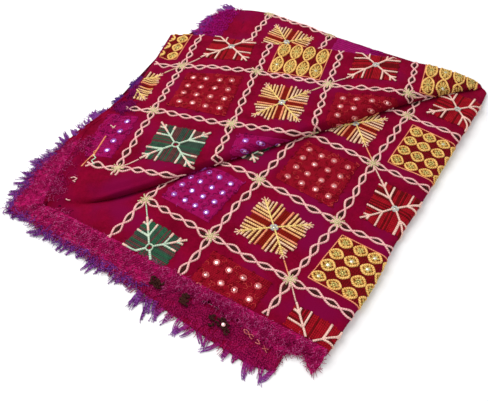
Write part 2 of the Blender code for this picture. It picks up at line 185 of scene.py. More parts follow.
def frontTop(lay, across):
    share = np.minimum(-across / lay["frontWidth"], 1.0)
    depth, reach = foldShape["valley"]
    valley = depth * ramp(lay["along"], 0.6, 0.3) * (1 - smooth(-across / reach))
    return lay["frontZ"] + swell(lay, across) * smooth(share * 5) - valley - creaseDrop(lay, across)


def upperTop(lay, across):
    share = across / lay["upperWidth"]
    reach, more = foldShape["climb"]
    rising = smooth(across / (reach + more * opened(lay)))
    level = frontTop(lay, across * 0.0) + creaseDrop(lay, across * 0.0)
    near = level + (lay["step"] + foldShape["puff"] * smooth(share * 4)) * rising
    rise = lay["farZ"] - lay["frontZ"] - lay["step"]
    top = near + rise * smooth(share) * rising + swell(lay, across) * smooth(share * 5)
    return top - opened(lay) * creaseDrop(lay, across)


# a rounded edge, from the top at start to the foot at end
def turned(start, end, top, foot, degrees):
    angle = np.radians(degrees)[None]
    middle, half = (top + foot) / 2, (top - foot) / 2
    return start + (end - start) * np.cos(angle), middle + half * np.sin(angle)


# across and height of the embroidered cloth: right fold, front wing, crease, upper wing, far fold
def mainProfile(lay):
    width, reach = lay["frontWidth"], -lay["frontWidth"]
    turn = np.minimum(foldShape["rightRound"], 0.45 * width)
    top = frontTop(lay, reach + turn)
    rimAt, rimZ = turned(reach + turn, reach, top, foldShape["rim"], np.linspace(-74, 84, rimColumns))
    flat = (reach + turn) * np.linspace(1, 0, flatColumns)[None]
    flat[:, -1:] = -0.0002
    bulge, gape = foldShape["bulge"] * lay["step"], opened(lay)
    base = frontTop(lay, width * 0.0)
    span = 2.6 * bulge + 0.016 * gape
    lift = upperTop(lay, span) - base
    shares = np.linspace(0.02, 0.93, len(nose))[None]
    noseAt = (1 - gape) * (0.0003 - nose[None, :, 0] * bulge) + gape * shares * span
    valley = upperTop(lay, shares * span) - (1 - gape) * creaseDrop(lay, shares * span)
    noseZ = (1 - gape) * (base + nose[None, :, 1] * lift) + gape * valley
    farTurn = np.minimum(foldShape["farRound"], 0.3 * lay["upperWidth"])
    level = span + (lay["upperWidth"] - farTurn - span) * np.linspace(0, 1, 66)[None]
    levelZ = upperTop(lay, level)
    (start, end), (sink, height) = foldShape["restsAt"], foldShape["hang"]
    resting = ramp(lay["along"], start, 0.02) * (1 - ramp(lay["along"], end, 0.02))
    foot = resting * (lay["backZ"] - sink) + (1 - resting) * height
    edge = lay["upperWidth"] - 0.0003
    edgeAt, edgeZ = turned(edge - farTurn, edge, levelZ[:, -1:], 2 * foot - levelZ[:, -1:],
                           np.array((76, 60, 44, 28, 14, 2)))
    last = np.broadcast_to(edge, (len(edge), 1))
    across = np.concatenate([rimAt, flat, noseAt, level, edgeAt, last], axis=1)
    height = np.concatenate([rimZ, frontTop(lay, flat), noseZ, levelZ, np.maximum(edgeZ, foot), foot], axis=1)
    return across, height


def rearProfile(lay):
    turn = np.minimum(foldShape["backRound"], 0.4 * lay["rearWidth"])
    start, end = lay["upperWidth"] - 0.0030, lay["upperWidth"] + lay["rearWidth"]
    flat = start + (end - turn - start) * np.linspace(0, 1, 34)[None]
    z = lay["backZ"] + swell(lay, np.maximum(flat, lay["upperWidth"] + 0.001)) * 0.5
    rimAt, rimZ = turned(end - turn, end, z[:, -1:], foldShape["rim"], np.linspace(80, -70, 10))
    return np.concatenate([flat, rimAt], axis=1), np.concatenate([z, rimZ], axis=1)


# Troughs and ridges, listed in tenths of a millimetre: from x, y, to x, y, half width,
# height (below 0 for a trough) and bend
softFolds = {
    "front": ((2150, -600, 600, -300, 140, -32, 100), (2250, -350, 1100, 100, 110, 26, 60),
              (3000, 450, 1900, 500, 130, -32, -80), (3450, 1100, 2400, 1500, 100, 24, 50),
              (1600, -1500, 700, -1000, 130, -36, 70), (1300, -1900, 200, -1300, 120, 28, -60),
              (-200, -1550, -600, -600, 150, -28, 80), (-1300, -950, -1000, -200, 130, 26, -70),
              (-1850, -600, -2700, -240, 120, -24, 40), (-1600, -300, -2350, -120, 80, 18, 20),
              (300, 600, -600, 300, 100, 18, 40), (3700, 1650, 3300, 1800, 70, -18, 30)),
    "upper": ((-2620, 200, -1500, 620, 130, -30, 80), (-2500, 400, -1650, 720, 100, 26, 60),
              (-2580, 440, -2010, 1600, 50, 40, 20), (-2430, 480, -1860, 1550, 60, -34, 20),  # the rolled hem
              (-1780, 2000, -1320, 3200, 50, 26, -10), (-1630, 1900, -1180, 3150, 70, -26, 20),
              (-2000, 1900, -1400, 3300, 130, -20, 100), (-700, 3500, -500, 2400, 120, 24, -80),
              (200, 3000, 500, 1700, 140, -30, 100), (1100, 3000, 1000, 2150, 110, 26, 50),
              (1900, 2850, 1700, 1750, 120, -30, -70), (3000, 2550, 2500, 2050, 80, 20, 40),
              (-600, 1300, 300, 1100, 100, 22, 40), (-200, 700, -1000, 600, 90, -20, 30)),
    "rear": ((0, 4400, -100, 3700, 80, -18, 30), (1200, 3950, 800, 3500, 80, 16, -30),
             (2300, 3300, 2000, 3100, 70, -14, 20)),
}


# how far each point is pushed along its normal
def pushed(points, wings):
    push = np.zeros(points.shape[:-1])
    for wing, folds in softFolds.items():
        for x0, y0, x1, y1, width, height, bend in np.array(folds) / 10000 if wing in wings else ():
            length = math.hypot(x1 - x0, y1 - y0)
            way = np.array((x1 - x0, y1 - y0)) / length
            away = points[..., :2] - np.array((x0, y0))
            share = (away @ way) / length
            side = away @ np.array((-way[1], way[0])) - 4 * bend * share * (1 - share)
            taper = ramp(share, -0.25, 0.45) * (1 - ramp(share, 0.75, 0.45))
            push += np.where(wings == wing, height * taper * np.exp(-(side / width) ** 2), 0.0)
    return push


def gridNormals(points, upAt):
    normals = unit(np.cross(np.gradient(points, axis=0), np.gradient(points, axis=1)))
    return -normals if normals[len(points) // 2, upAt, 2] < 0 else normals


# a cloth grid with its arc lengths, so that a flat pattern can be laid on it
def buildGrid(along, profile, wingSplit, upAt, anchors):
    lay = layOut(along)
    across, height = profile(lay)
    points = np.concatenate([placeOn(lay, across), height[..., None]], axis=-1)
    wings = np.where(np.arange(across.shape[1]) < wingSplit, "front", "upper" if wingSplit else "rear")
    normals = gridNormals(points, upAt)
    facing = ramp(normals[..., 2], 0.1, 0.5)
    points = points + normals * (pushed(points, wings) * facing)[..., None]
    run = np.linalg.norm(np.diff(np.stack([across, height], axis=-1), axis=1), axis=-1)
    arc = np.concatenate([np.zeros((len(along), 1)), np.cumsum(run, axis=1)], axis=1)
    tables = {wing: arc - arc[:, column:column + 1] + across[:, column:column + 1]
              for wing, column in anchors.items()}
    return {"along": along, "points": points, "normals": gridNormals(points, upAt), "arc": arc, "tables": tables,
            "split": wingSplit}


# rows that round the folded layers off past the first section
def closedTip(grid, count):
    first, second = grid["points"][0], grid["points"][1]
    centre = first.mean(axis=0) * np.array((1, 1, 0)) + np.array((0, 0, first[:, 2].mean() * 0.8))
    out = (first.mean(axis=0) - second.mean(axis=0)) * np.array((1, 1, 0))
    out /= np.linalg.norm(out)
    angles = [math.radians(86.0 * k / count) for k in range(count, 0, -1)]
    rows = [centre + (first - centre) * math.cos(angle) + out * 0.006 * math.sin(angle) for angle in angles]
    return np.concatenate([np.array(rows), grid["points"]], axis=0)


print("laying the folded cloth")
rowsAlong = np.concatenate([np.linspace(0.012, 0.10, 18)[:-1], np.linspace(0.10, 1.0, 150)])
creaseColumn = rimColumns + flatColumns
clothGrid = buildGrid(rowsAlong, mainProfile, creaseColumn, creaseColumn + 30,
                      {"front": 45, "upper": creaseColumn + 45})
rearGrid = buildGrid(np.linspace(0.15, 0.93, 96), rearProfile, 0, 5, {"rear": 6})

# The flat pattern: a lattice of cells on each wing, with each knot a few millimetres off the even grid
cellSize = 0.12
patterns = {
    "front": {"origin": (-0.141, -0.008), "i": (0.8304 * cellSize, -0.5572 * cellSize),
              "j": (0.5572 * cellSize, 0.8304 * cellSize),
              "knots": ((0, 0, -0.1384, -0.0087), (1, 0, -0.0458, -0.0700), (2, 0, 0.0587, -0.1386),
                        (1, 1, 0.0216, 0.0249), (2, 1, 0.1283, -0.0500), (2, 2, 0.1909, 0.0587),
                        (2, 3, 0.2581, 0.1577))},
    "upper": {"origin": (-0.104, 0.267), "i": (0.122, -0.0245), "j": (-0.040, -0.1145),
              "knots": ((0, 0, -0.1044, 0.2653), (1, 0, 0.0215, 0.2469), (2, 0, 0.1358, 0.2112),
                        (3, 0, 0.2623, 0.1922), (0, 1, -0.1424, 0.1635), (1, 1, -0.0183, 0.1206),
                        (0, 2, -0.1851, 0.0466))},
    "rear": {"origin": (0.0485, 0.4345), "i": (0.107, -0.0648), "j": (0.0516, 0.1083), "knots": ()},
}


# pattern coordinates, in cells, to a place in plan
def toPlan(wing, spots):
    origin, i, j, knots = (np.array(patterns[wing][key]) for key in ("origin", "i", "j", "knots"))

    def even(places):
        return origin + places[:, :1] * i + places[:, 1:2] * j

    spots = np.asarray(spots, float)
    plan = even(spots)
    if len(knots):
        away = ((spots[:, None, :] - knots[None, :, :2]) ** 2).sum(axis=-1)
        weight = np.exp(-away / 0.32)
        plan = plan + (weight @ (knots[:, 2:] - even(knots))) / (weight.sum(axis=1, keepdims=True) + 0.15)
    return plan


finder = layOut(np.linspace(0.012, 1.0, 420))


# where a point in plan lies on a wing: along, across and whether it is on it at all
def locate(wing, plan):
    start = finder["far"] if wing == "rear" else finder["crease"]
    way = finder[wing + "Way"]
    away = plan[:, None, :] - start[None]
    side = way[None, :, 0] * away[..., 1] - way[None, :, 1] * away[..., 0]
    reach = (away * way[None]).sum(axis=-1)
    change = (side[:, :-1] * side[:, 1:] <= 0) & (reach[:, :-1] > -0.03)
    index, pick = change.argmax(axis=1), np.arange(len(plan))
    low, high = side[pick, index], side[pick, index + 1]
    share = low / np.where(np.abs(low - high) < 1e-12, 1e-12, low - high)
    keys = finder["along"][:, 0]
    along = keys[index] + (keys[index + 1] - keys[index]) * share
    across = reach[pick, index] * (1 - share) + reach[pick, index + 1] * share
    return along, across, change.any(axis=1)


# position and normal on the laid cloth for points in plan
def onCloth(wing, plan):
    grid = rearGrid if wing == "rear" else clothGrid
    keys, widths = finder["along"][:, 0], finder["upperWidth"][:, 0]
    moved = plan.copy()
    for turn in range(3 if wing == "upper" else 1):
        along, across, found = locate(wing, moved)
        if wing == "upper":  # the fringed end bows out
            moved = plan - bowed(along, across / np.interp(along, keys, widths))[:, None] * foldShape["bowWay"]
    value = {"front": -across, "upper": across, "rear": across + np.interp(along, keys, widths)}[wing]
    row = np.interp(along, grid["along"], np.arange(len(grid["along"])))
    found &= (along > grid["along"][0]) & (along < grid["along"][-1] - 1e-6)
    low = np.clip(np.floor(row).astype(int), 0, len(grid["along"]) - 2)
    share = (row - low)[:, None]
    first, last = {"front": (0, grid["split"] + 5), "upper": (grid["split"] + 3, None), "rear": (0, None)}[wing]
    table = grid["tables"][wing][:, first:last]
    places, ways = [], []
    for r in (low, low + 1):
        column = np.clip((table[r] < value[:, None]).sum(axis=1) - 1, 0, table.shape[1] - 2)
        part = (value - table[r, column]) / np.maximum(table[r, column + 1] - table[r, column], 1e-9)
        found &= (part > -0.01) & (part < 1.01)
        for kind, rows in (("points", places), ("normals", ways)):
            near, after = grid[kind][r, first + column], grid[kind][r, first + column + 1]
            rows.append(near * (1 - part[:, None]) + after * part[:, None])
    place, normal = (rows[0] * (1 - share) + rows[1] * share for rows in (places, ways))
    return place, unit(normal), found


# where the embroidery was cut off, in cells
def kept(wing, spots):
    x, y = spots[:, 0], spots[:, 1]
    if wing == "front":
        return (y > np.interp(x, (0, 1, 2, 2.75), (-0.64, -0.60, -0.49, -0.45))) & (x > -0.42)
    if wing == "upper":
        return x > np.interp(y, (1.04, 1.06, 1.90, 1.95), (-0.39, -0.56, -0.50, -0.39))
    return x > -0.08


# Stitches: each is a line in cells on one wing, sewn down later in one go
sewing = {}
handWander = 0.0001    # how far a hand-sewn thread strays from one point to the next
rowStep = 0.0055       # points along the long rows, which need few


# width and height are half the thread's, in metres; step is how far apart its points may lie
def stitch(thread, wing, spots, width, height, lift=0.0, taper=False, wander=0.0, step=0.0026):
    spots = np.asarray(spots, float)
    runs = np.linalg.norm(np.diff(spots, axis=0), axis=1) * cellSize
    passed = np.concatenate([[0], np.cumsum(runs)])
    count = max(3, int(math.ceil(passed[-1] / step)) + 1)
    lift = np.broadcast_to(lift, len(spots)).astype(float)
    if len(spots) < count:
        at = np.linspace(0, passed[-1], count)
        lift = np.interp(at, passed, lift)
        spots = np.stack([np.interp(at, passed, spots[:, 0]), np.interp(at, passed, spots[:, 1])], axis=1)
    if wander:
        spots = spots + np.cumsum(draw.normal(0, wander / cellSize, spots.shape), axis=0) * 0.4
    wide = np.full(len(spots), width * draw.uniform(0.92, 1.08))
    if taper:
        wide *= 0.25 + 0.75 * np.sin(np.linspace(0.06, 0.94, len(spots)) * math.pi) ** 0.6
    sewing.setdefault(thread, []).append((wing, spots, wide, np.full(len(spots), height), lift))


# from metres off the middle of a cell to cells
def inCell(i, j, points):
    return np.array((i + 0.5, j + 0.5)) + np.asarray(points, float) / cellSize


def ringSpots(centre, radius, count):
    angle = np.linspace(0, 2 * math.pi, count + 1)
    return centre + np.stack([np.cos(angle), np.sin(angle)], axis=1) * radius / cellSize


mirrorsAt = []  # wing, spot, radius, tone


def mirror(wing, spot, radius, tone):
    mirrorsAt.append((wing, np.asarray(spot, float), radius, tone))


# In this and the following dictionaries a thread is (half width, half height, lift), in metres
chainLook = {"links": {"front": 5, "upper": 6, "rear": 6}, "spread": 0.0048, "strand": (0.00162, 0.0011),
             "linkShade": (0.0026, 0.0004, 0.0), "linkShadeReach": 0.32,
             "sway": ((0.0009, 2.3), (0.0005, 5.1)), "uneven": (0.14, 1.9)}    # by how much, and how often


# two strands that cross and part, with a dark stitch in each link as painted shade
def chainLine(wing, start, end):
    start, end = np.array(start, float), np.array(end, float)
    length = np.linalg.norm(end - start)
    way = (end - start) / length
    side = np.array((-way[1], way[0]))
    offset = start @ np.abs(way)  # so that the crossings fall on the knots
    t = np.arange(0, length + 1e-6, 1 / 42)
    links = chainLook["links"][wing]
    phase = (t + offset) * links
    wave = 0.5 * np.sin(math.pi * phase) + 0.5 * np.arcsin(np.sin(math.pi * phase)) * 2 / math.pi
    ((slow, slowTurns), (fast, fastTurns)), (more, turns) = chainLook["sway"], chainLook["uneven"]
    sway = slow * np.sin(slowTurns * phase + 5 * start.sum()) + fast * np.sin(fastTurns * phase)
    swing = chainLook["spread"] * (1 + more * np.sin(turns * phase + start[0]))
    for sign in (1, -1):
        spots = start + t[:, None] * way + ((sign * swing * wave + sway) / cellSize)[:, None] * side
        stitch("chainThread", wing, spots, *chainLook["strand"], 0.00030 * (1 + sign * np.cos(math.pi * phase)))
    # a dark stitch in the middle of each link: painted shade
    for k in range(int(math.ceil(phase[0] - 0.5)), int(phase[-1] + 0.5)):
        at = (k + 0.5) / links - offset
        if 0.04 < at < length - 0.04:
            reach = chainLook["linkShadeReach"] / links
            middle = start + at * way + np.interp(at, t, sway) / cellSize * side
            stitch("shadeAndDarkStitch", wing, [middle - way * reach, middle, middle + way * reach],
                   *chainLook["linkShade"], taper=True)


knotLook = {"rays": 8, "reach": (0.0085, 0.0100), "ray": (0.0012, 0.0012, 0.0008),
            "rings": ((0.0022, 0.0011), (0.0036, 0.0008)), "ring": (0.0009, 0.0010)}    # radius and lift


def vertexKnot(wing, i, j):
    centre = np.array((i, j), float)
    for k in range(knotLook["rays"]):
        angle = math.radians(45 * k + draw.uniform(-7, 7))
        reach = knotLook["reach"][k % 2] * draw.uniform(0.9, 1.15) / cellSize
        way = np.array((math.cos(angle), math.sin(angle)))
        stitch("knotThread", wing, [centre + way * 0.001, centre + way * reach], *knotLook["ray"])
    for radius, lift in knotLook["rings"]:
        stitch("knotThread", wing, ringSpots(centre, radius, 10), *knotLook["ring"], lift)


quarters = ((1, 1), (-1, 1), (-1, -1), (1, -1))
sides = [(np.array((x, y), float), np.array((-y, x), float)) for x, y in ((1, 0), (0, 1), (-1, 0), (0, -1))]


centreLook = {"open": ((0.0050, 0.0008),), "mirrored": ((0.0045, 0.0006), (0.0030, 0.0010)),
              "ring": (0.0012, 0.0012), "mirror": 0.0020}


# the rings in the middle of a star, round a small mirror unless the thread is mint
def centreKnot(wing, i, j, thread):
    mirrored = thread != "mintThread"
    for radius, lift in centreLook["mirrored" if mirrored else "open"]:
        stitch(thread, wing, ringSpots(np.array((i + 0.5, j + 0.5)), radius, 12), *centreLook["ring"], lift)
    if mirrored:
        mirror(wing, (i + 0.5, j + 0.5), centreLook["mirror"], "pale")


starLook = {"barbsFrom": (0.0112, 0.0166, 0.0218, 0.0266), "reach": 0.0398, "narrows": 0.24, "barb": 0.00175,
            "apart": 0.0058, "spine": (0.0013, 0.0015, 0.0007), "prong": (0.0010, 0.0011, 0.0004),
            "prongs": ((0.0390, 0.0325), (0.0325, 0.0390), (0.0375, 0.0375)), "bar": (0.0017, 0.0013, 0.0003),
            "ground": (0.0017, 0.0007), "shade": (0.0014, 0.0006), "tip": (0.0016, 0.0012, 0.00045),
            "barbHeight": 0.0013, "barbLift": 0.0003, "splay": 0.0022, "groundRows": (-0.0028, 0.0, 0.0028)}


# a feathered spine to each corner of the cell and two bars to each side; the dark lines in the gaps are painted shade
def featherStar(wing, i, j):
    for sx, sy in quarters:
        reach = draw.uniform(0.0335, 0.0355)
        line = [(sx * 0.002, sy * 0.002), (sx * reach, sy * reach)]
        stitch("spineYellow", wing, inCell(i, j, line), *starLook["spine"])
        for c in starLook["barbsFrom"]:
            for flip in (0, 1):
                tone = ("starGold", "starCream", "starGold")[int(draw.integers(3))]
                c += draw.uniform(-0.0005, 0.0005)
                narrower = starLook["narrows"] * (c - starLook["barbsFrom"][0])
                end = starLook["reach"] - narrower + draw.uniform(-0.0036, 0.0014)
                splay = starLook["splay"] * (c / 0.03) + draw.uniform(-0.0004, 0.0004)
                barb = [(c, c), (end, c + splay)]
                # a dark line in the gap beside each barb: painted shade
                gapShade = [(c + 0.0034, c + 0.0029), (end - 0.0020, c + 0.0029 + 0.5 * splay)]
                tip = [(end - 0.0035, c + splay * 0.9), (end + 0.0004, c + splay)]
                half = starLook["barb"] * draw.uniform(0.85, 1.2)
                for name, spots, *thread in ((tone, barb, half, starLook["barbHeight"], starLook["barbLift"]),
                                             ("umberStitch", gapShade, *starLook["shade"]),
                                             ("tipThread", tip, *starLook["tip"])):
                    if name == "tipThread" and draw.random() < 0.25:
                        continue
                    spots = [(sx * y, sy * x) if flip else (sx * x, sy * y) for x, y in spots]
                    stitch(name, wing, inCell(i, j, spots), *thread, wander=handWander)
        for x, y in starLook["prongs"]:
            line = [(sx * 0.0315, sy * 0.0315), (sx * x, sy * y)]
            stitch("tipThread", wing, inCell(i, j, line), *starLook["prong"])
    for way, cross in sides:
        for off in starLook["groundRows"]:
            line = [way * 0.0075 + cross * off, way * 0.0355 + cross * off]
            stitch("umberRed", wing, inCell(i, j, line), *starLook["ground"])
        for off in (-starLook["apart"], starLook["apart"]):
            far, off = draw.uniform(0.0365, 0.0400), off + draw.uniform(-0.0008, 0.0008)
            line = [way * 0.0085 + cross * off, way * far + cross * off * 1.08]
            stitch("orangeThread" if off < 0 else "amberThread", wing, inCell(i, j, line), *starLook["bar"],
                   wander=handWander)
            # a dark line beside each bar: painted shade
            line = [way * 0.013 + cross * off * 1.52, way * 0.037 + cross * off * 1.6]
            stitch("umberStitch", wing, inCell(i, j, line), *starLook["shade"])
    centreKnot(wing, i, j, "silverThread")


branchLook = {"reach": 0.0372, "twigs": ((0.0132, 0.0366, 0.0012), (0.0258, 0.0366, 0.0024)), "thread": 0.00160,
              "height": 0.0013, "lift": 0.0012, "fill": 0.0360, "pitch": 0.0025, "satin": (0.00145, 0.0007)}


# a star with two twigs on each side of its spines, over satin stripes
def branchStar(wing, i, j, branch, fills):
    for sx, sy in quarters:
        lines = [([(0.003, 0.003), (branchLook["reach"], branchLook["reach"])], 0.0001)]
        for c, far, rise in branchLook["twigs"]:
            for flip in (0, 1):
                far *= draw.uniform(0.95, 1.04)
                line = [(c, c), (c + 0.3 * (far - c), c + 0.7 * rise), (far, c + rise)]
                lines.append(([(y, x) if flip else (x, y) for x, y in line], 0.0))
        for line, lift in lines:
            spots = inCell(i, j, [(sx * x, sy * y) for x, y in line])
            stitch(branch, wing, spots, branchLook["thread"] * draw.uniform(0.9, 1.15), branchLook["height"],
                   branchLook["lift"] + lift, wander=handWander)
            if branch == "mintThread" and draw.random() < 0.85:  # the sewn ends are paler
                stitch("roseThread", wing, [spots[-2] * 0.5 + spots[-1] * 0.5, spots[-1]],
                       branchLook["thread"] * 1.15, branchLook["height"], 0.0014 + lift)
    for way, cross in sides:
        for k in range(-14, 15):
            off = k * branchLook["pitch"]
            near, far = abs(off) + 0.0020, branchLook["fill"] + draw.uniform(-0.0016, 0.0014)
            if far - near > 0.002:
                line = [way * near + cross * off, way * far + cross * off]
                stitch(fills[int(draw.integers(len(fills)))], wing, inCell(i, j, line), *branchLook["satin"])
    centreKnot(wing, i, j, branch if branch == "mintThread" else "silverThread")


squareLook = {"half": 0.0440, "rows": 34, "row": (0.0017, 0.0007), "loops": 150, "pitch": 0.0205, "loop": 0.0028,
              "loopThread": (0.00055, 0.0007, 0.0007), "halo": 0.0037, "haloThread": (0.0012, 0.0010, 0.0005)}


# a dense square of close rows and small loops with four by four mirrors
def mirrorSquare(wing, i, j, thread, halo, tone):
    half, rows = squareLook["half"], squareLook["rows"]
    for k in range(rows):
        y = -half + (k + 0.5) * 2 * half / rows
        ends = half * draw.uniform(0.97, 1.03, 2)
        stitch(thread, wing, inCell(i, j, [(-ends[0], y), (0, y), (ends[1], y)]), *squareLook["row"],
               wander=handWander, step=rowStep)
    for k in range(squareLook["loops"]):
        x, y = draw.uniform(-half, half, 2)
        angle = draw.uniform(0, 6.28) + np.linspace(0, draw.uniform(2.0, 4.5), 6)
        loop = np.stack([x + squareLook["loop"] * np.cos(angle), y + squareLook["loop"] * np.sin(angle)], axis=1)
        stitch(thread + ("Deep" if k % 3 else "Light"), wing, inCell(i, j, loop), *squareLook["loopThread"])
    for a in range(4):
        for b in range(4):
            if wing == "upper" and i < 0 and a < 3:  # the fringe covers these
                continue
            spot = inCell(i, j, [[(k - 1.5) * squareLook["pitch"] + draw.uniform(-0.0012, 0.0012)
                                  for k in (a, b)]])[0]
            mirror(wing, spot, draw.uniform(0.0023, 0.0030), tone)
            stitch(halo, wing, ringSpots(spot, squareLook["halo"], 11), *squareLook["haloThread"])


ringLook = {"half": 0.0435, "across": 0.0222, "rim": (0.0018, 0.0013, 0.0008), "spoke": (0.00105, 0.0010, 0.0003),
            "centre": (0.0008, 0.0010, 0.0006), "ground": (0.0024, 0.0005, 0.0), "frame": (0.0009, 0.0010, 0.0004),
            "round": {"rows": (-0.0334, -0.0112, 0.0112, 0.0334), "radii": (0.0072, 0.0079), "pointed": 0.28,
                      "ends": (-0.0435, 0.0435), "spokes": 15},
            "oval": {"rows": (-0.0045, 0.0345), "radii": (0.0166, 0.0088), "pointed": 0.13,
                     "ends": (-0.0300, 0.0535), "spokes": 26}}


# four columns of gold rings, linked to one another, inside a thin frame line; two cells have fewer, longer ones
def ringCell(wing, i, j):
    half, kind = ringLook["half"], ringLook["oval" if wing == "upper" and i > 0 else "round"]
    (long, wide), (low, high) = kind["radii"], kind["ends"]

    def laid(points):
        return inCell(i, j, [(x, y) if wing == "front" else (y, x) for x, y in points])

    for row in kind["rows"]:
        for b in range(4):
            x = row + draw.uniform(-0.0006, 0.0006)
            y = (b - 1.5) * ringLook["across"] + draw.uniform(-0.0006, 0.0006)
            angle = np.linspace(0, 2 * math.pi, 25)
            pointed = 1 + kind["pointed"] * np.abs(np.cos(angle)) ** 10
            outer = np.stack([x + long * pointed * np.cos(angle), y + wide * np.sin(angle)], axis=1)
            stitch("ringGold", wing, laid(outer), *ringLook["rim"])
            for k in range(kind["spokes"]):
                w = 2 * math.pi * k / kind["spokes"] + draw.uniform(-0.06, 0.06)
                near, far = 0.0024, draw.uniform(0.80, 0.88)
                line = [(x + near * math.cos(w), y + near * math.sin(w)),
                        (x + far * long * math.cos(w), y + far * wide * math.sin(w))]
                stitch(("ringOlive", "ringGold", "ringDark")[k % 3], wing, laid(line), *ringLook["spoke"])
            middle = laid([(x, y)])[0]
            stitch("ringPale", wing, ringSpots(middle, 0.0028, 10), *ringLook["centre"])
            mirror(wing, middle, *((0.0026, "pale") if draw.random() < 0.25 else (0.0016, "green")))
    for k in range(20):
        y = (k + 0.5) * half / 10 - half
        stitch("ringGround", wing, laid([(low, y), (0, y), (high, y)]), *ringLook["ground"],
               wander=handWander, step=rowStep)
    frame = [(low, -half), (high, -half), (high, half), (low, half), (low, -half)]
    for corner, after in zip(frame, frame[1:]):
        stitch("orangeThread", wing, laid([corner, after]), *ringLook["frame"])


print("drawing the stitches")
motifs = {
    "gold": (featherStar,),
    "rings": (ringCell,),
    "leaf": (branchStar, "mintThread", ("greenSatin", "pineSatin", "duskSatin", "duskSatin", "pineSatin")),
    "rose": (branchStar, "roseThread", ("redSatin", "darkRed", "redSatin")),
    "red": (mirrorSquare, "redLoops", "roseHalo", "rose"),
    "magenta": (mirrorSquare, "magentaLoops", "purpleLoops", "lilac"),
}
cells = {
    "front": {(0, -1): "leaf", (1, -1): "red", (2, -1): "rose", (0, 0): "magenta", (1, 0): "gold", (2, 0): "rings",
              (0, 1): "leaf", (1, 1): "red", (2, 1): "rose", (1, 2): "gold", (2, 2): "rings", (2, 3): "rose"},
    "upper": {(-1, -1): "rings", (0, -1): "rose", (1, -1): "rings", (2, -1): "rose", (3, -1): "rings",
              (-1, 0): "gold", (0, 0): "red", (1, 0): "gold", (2, 0): "red",
              (-1, 1): "magenta", (0, 1): "leaf", (1, 1): "magenta"},
    "rear": {(0, -1): "gold"},
}
for wing, filled in cells.items():
    for (i, j), kind in filled.items():
        sewMotif, *choice = motifs[kind]
        sewMotif(wing, i, j, *choice)

# Bright satin on the back layer, above the rose star: places in cells
farSatinLook = {"rows": 13, "first": 0.10, "apart": 0.042, "from": 1.12, "middle": 1.38, "to": 1.64,
                "row": (0.0027, 0.0007), "deepFrom": 1.60, "deepTo": 1.78, "deep": (0.0012, 0.0008, 0.0002)}
for k in range(farSatinLook["rows"]):
    v = farSatinLook["first"] - farSatinLook["apart"] * k
    ends = (farSatinLook["from"] + draw.uniform(0, 0.02), farSatinLook["to"] + draw.uniform(0, 0.04))
    stitch("farSatin", "rear", [(ends[0], v), (farSatinLook["middle"], v - 0.004), (ends[1], v)],
           *farSatinLook["row"], wander=handWander, step=rowStep)
    line = [(farSatinLook["deepFrom"], v + 0.015), (farSatinLook["deepTo"] + 0.02 * (k % 4), v + 0.012)]
    stitch("farSatinDeep", "rear", line, *farSatinLook["deep"])

chainLines = {
    "front": ((0, -0.70, 0, 1.2), (1, -0.66, 1, 2.4), (2, -0.56, 2, 4.0), (0, 0, 3.1, 0), (-0.1, 1, 3.1, 1),
              (0.8, 2, 3.1, 2), (1.6, 3, 3.1, 3)),
    "upper": ((-0.40, 0, 4.2, 0), (-0.40, 1, 3.0, 1), (-0.40, 2, 1.0, 2), (0, -1, 0, 2.12), (1, -1, 1, 2),
              (2, -1, 2, 1.5), (3, -1, 3, 0.8)),
    "rear": ((0, -1, 0, 0), (1, -1, 1, 0), (0, 0, 1.1, 0)),
}
knots = {
    "front": ((0, 0), (1, 0), (2, 0), (0, 1), (1, 1), (2, 1), (1, 2), (2, 2), (2, 3)),
    "upper": ((0, 0), (1, 0), (2, 0), (3, 0), (0, 1), (1, 1), (2, 1), (0, 2), (1, 2)),
    "rear": ((0, 0), (1, 0)),
}
links = (  # single threads from a knot to the star in a cell
    ("front", (0, 0), (0, -1), "mintThread"), ("front", (2, 0), (1, 0), "orangeThread"),
    ("front", (2, 0), (2, -1), "roseThread"), ("front", (2, 2), (2, 1), "roseThread"),
    ("front", (2, 2), (1, 2), "orangeThread"), ("upper", (0, 2), (0, 1), "roseThread"),
    ("upper", (2, 0), (1, 0), "starCream"), ("upper", (2, 0), (2, -1), "roseThread"),
    ("upper", (0, 0), (0, -1), "roseThread"), ("upper", (0, 0), (-1, 0), "starCream"))
for wing, lines in chainLines.items():
    for x0, y0, x1, y1 in lines:
        chainLine(wing, (x0, y0), (x1, y1))
for wing, places in knots.items():
    for i, j in places:
        vertexKnot(wing, i, j)
for wing, knotAt, cell, thread in links:
    centre = np.array(cell) + 0.5
    tip = centre + (np.array(knotAt) - centre) * 0.64
    stitch(thread, wing, [np.array(knotAt) * 0.94 + tip * 0.06, tip], 0.0010, 0.0011, 0.0004, wander=handWander)


def meshPiece(name, points, faces, material, uv=None):
    mesh = bpy.data.meshes.new(name)
    mesh.vertices.add(len(points))
    mesh.vertices.foreach_set("co", np.asarray(points, np.float32).ravel())
    faces = [np.asarray(block, np.int32) for block in faces]
    corners = np.concatenate([block.ravel() for block in faces])
    sizes = np.concatenate([np.full(len(block), block.shape[1], np.int32) for block in faces])
    mesh.loops.add(len(corners))
    mesh.loops.foreach_set("vertex_index", corners)
    mesh.polygons.add(len(sizes))
    mesh.polygons.foreach_set("loop_start", np.concatenate([[0], np.cumsum(sizes)[:-1]]).astype(np.int32))
    mesh.polygons.foreach_set("loop_total", sizes)
    mesh.update(calc_edges=True)
    if uv is not None:
        mesh.uv_layers.new(name="flat").data.foreach_set("uv", np.asarray(uv, np.float32)[corners].ravel())
    mesh.shade_smooth()
    mesh.materials.append(material)
    piece = bpy.data.objects.new(name, mesh)
    bpy.context.scene.collection.objects.link(piece)
    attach(piece, "root")
    return piece


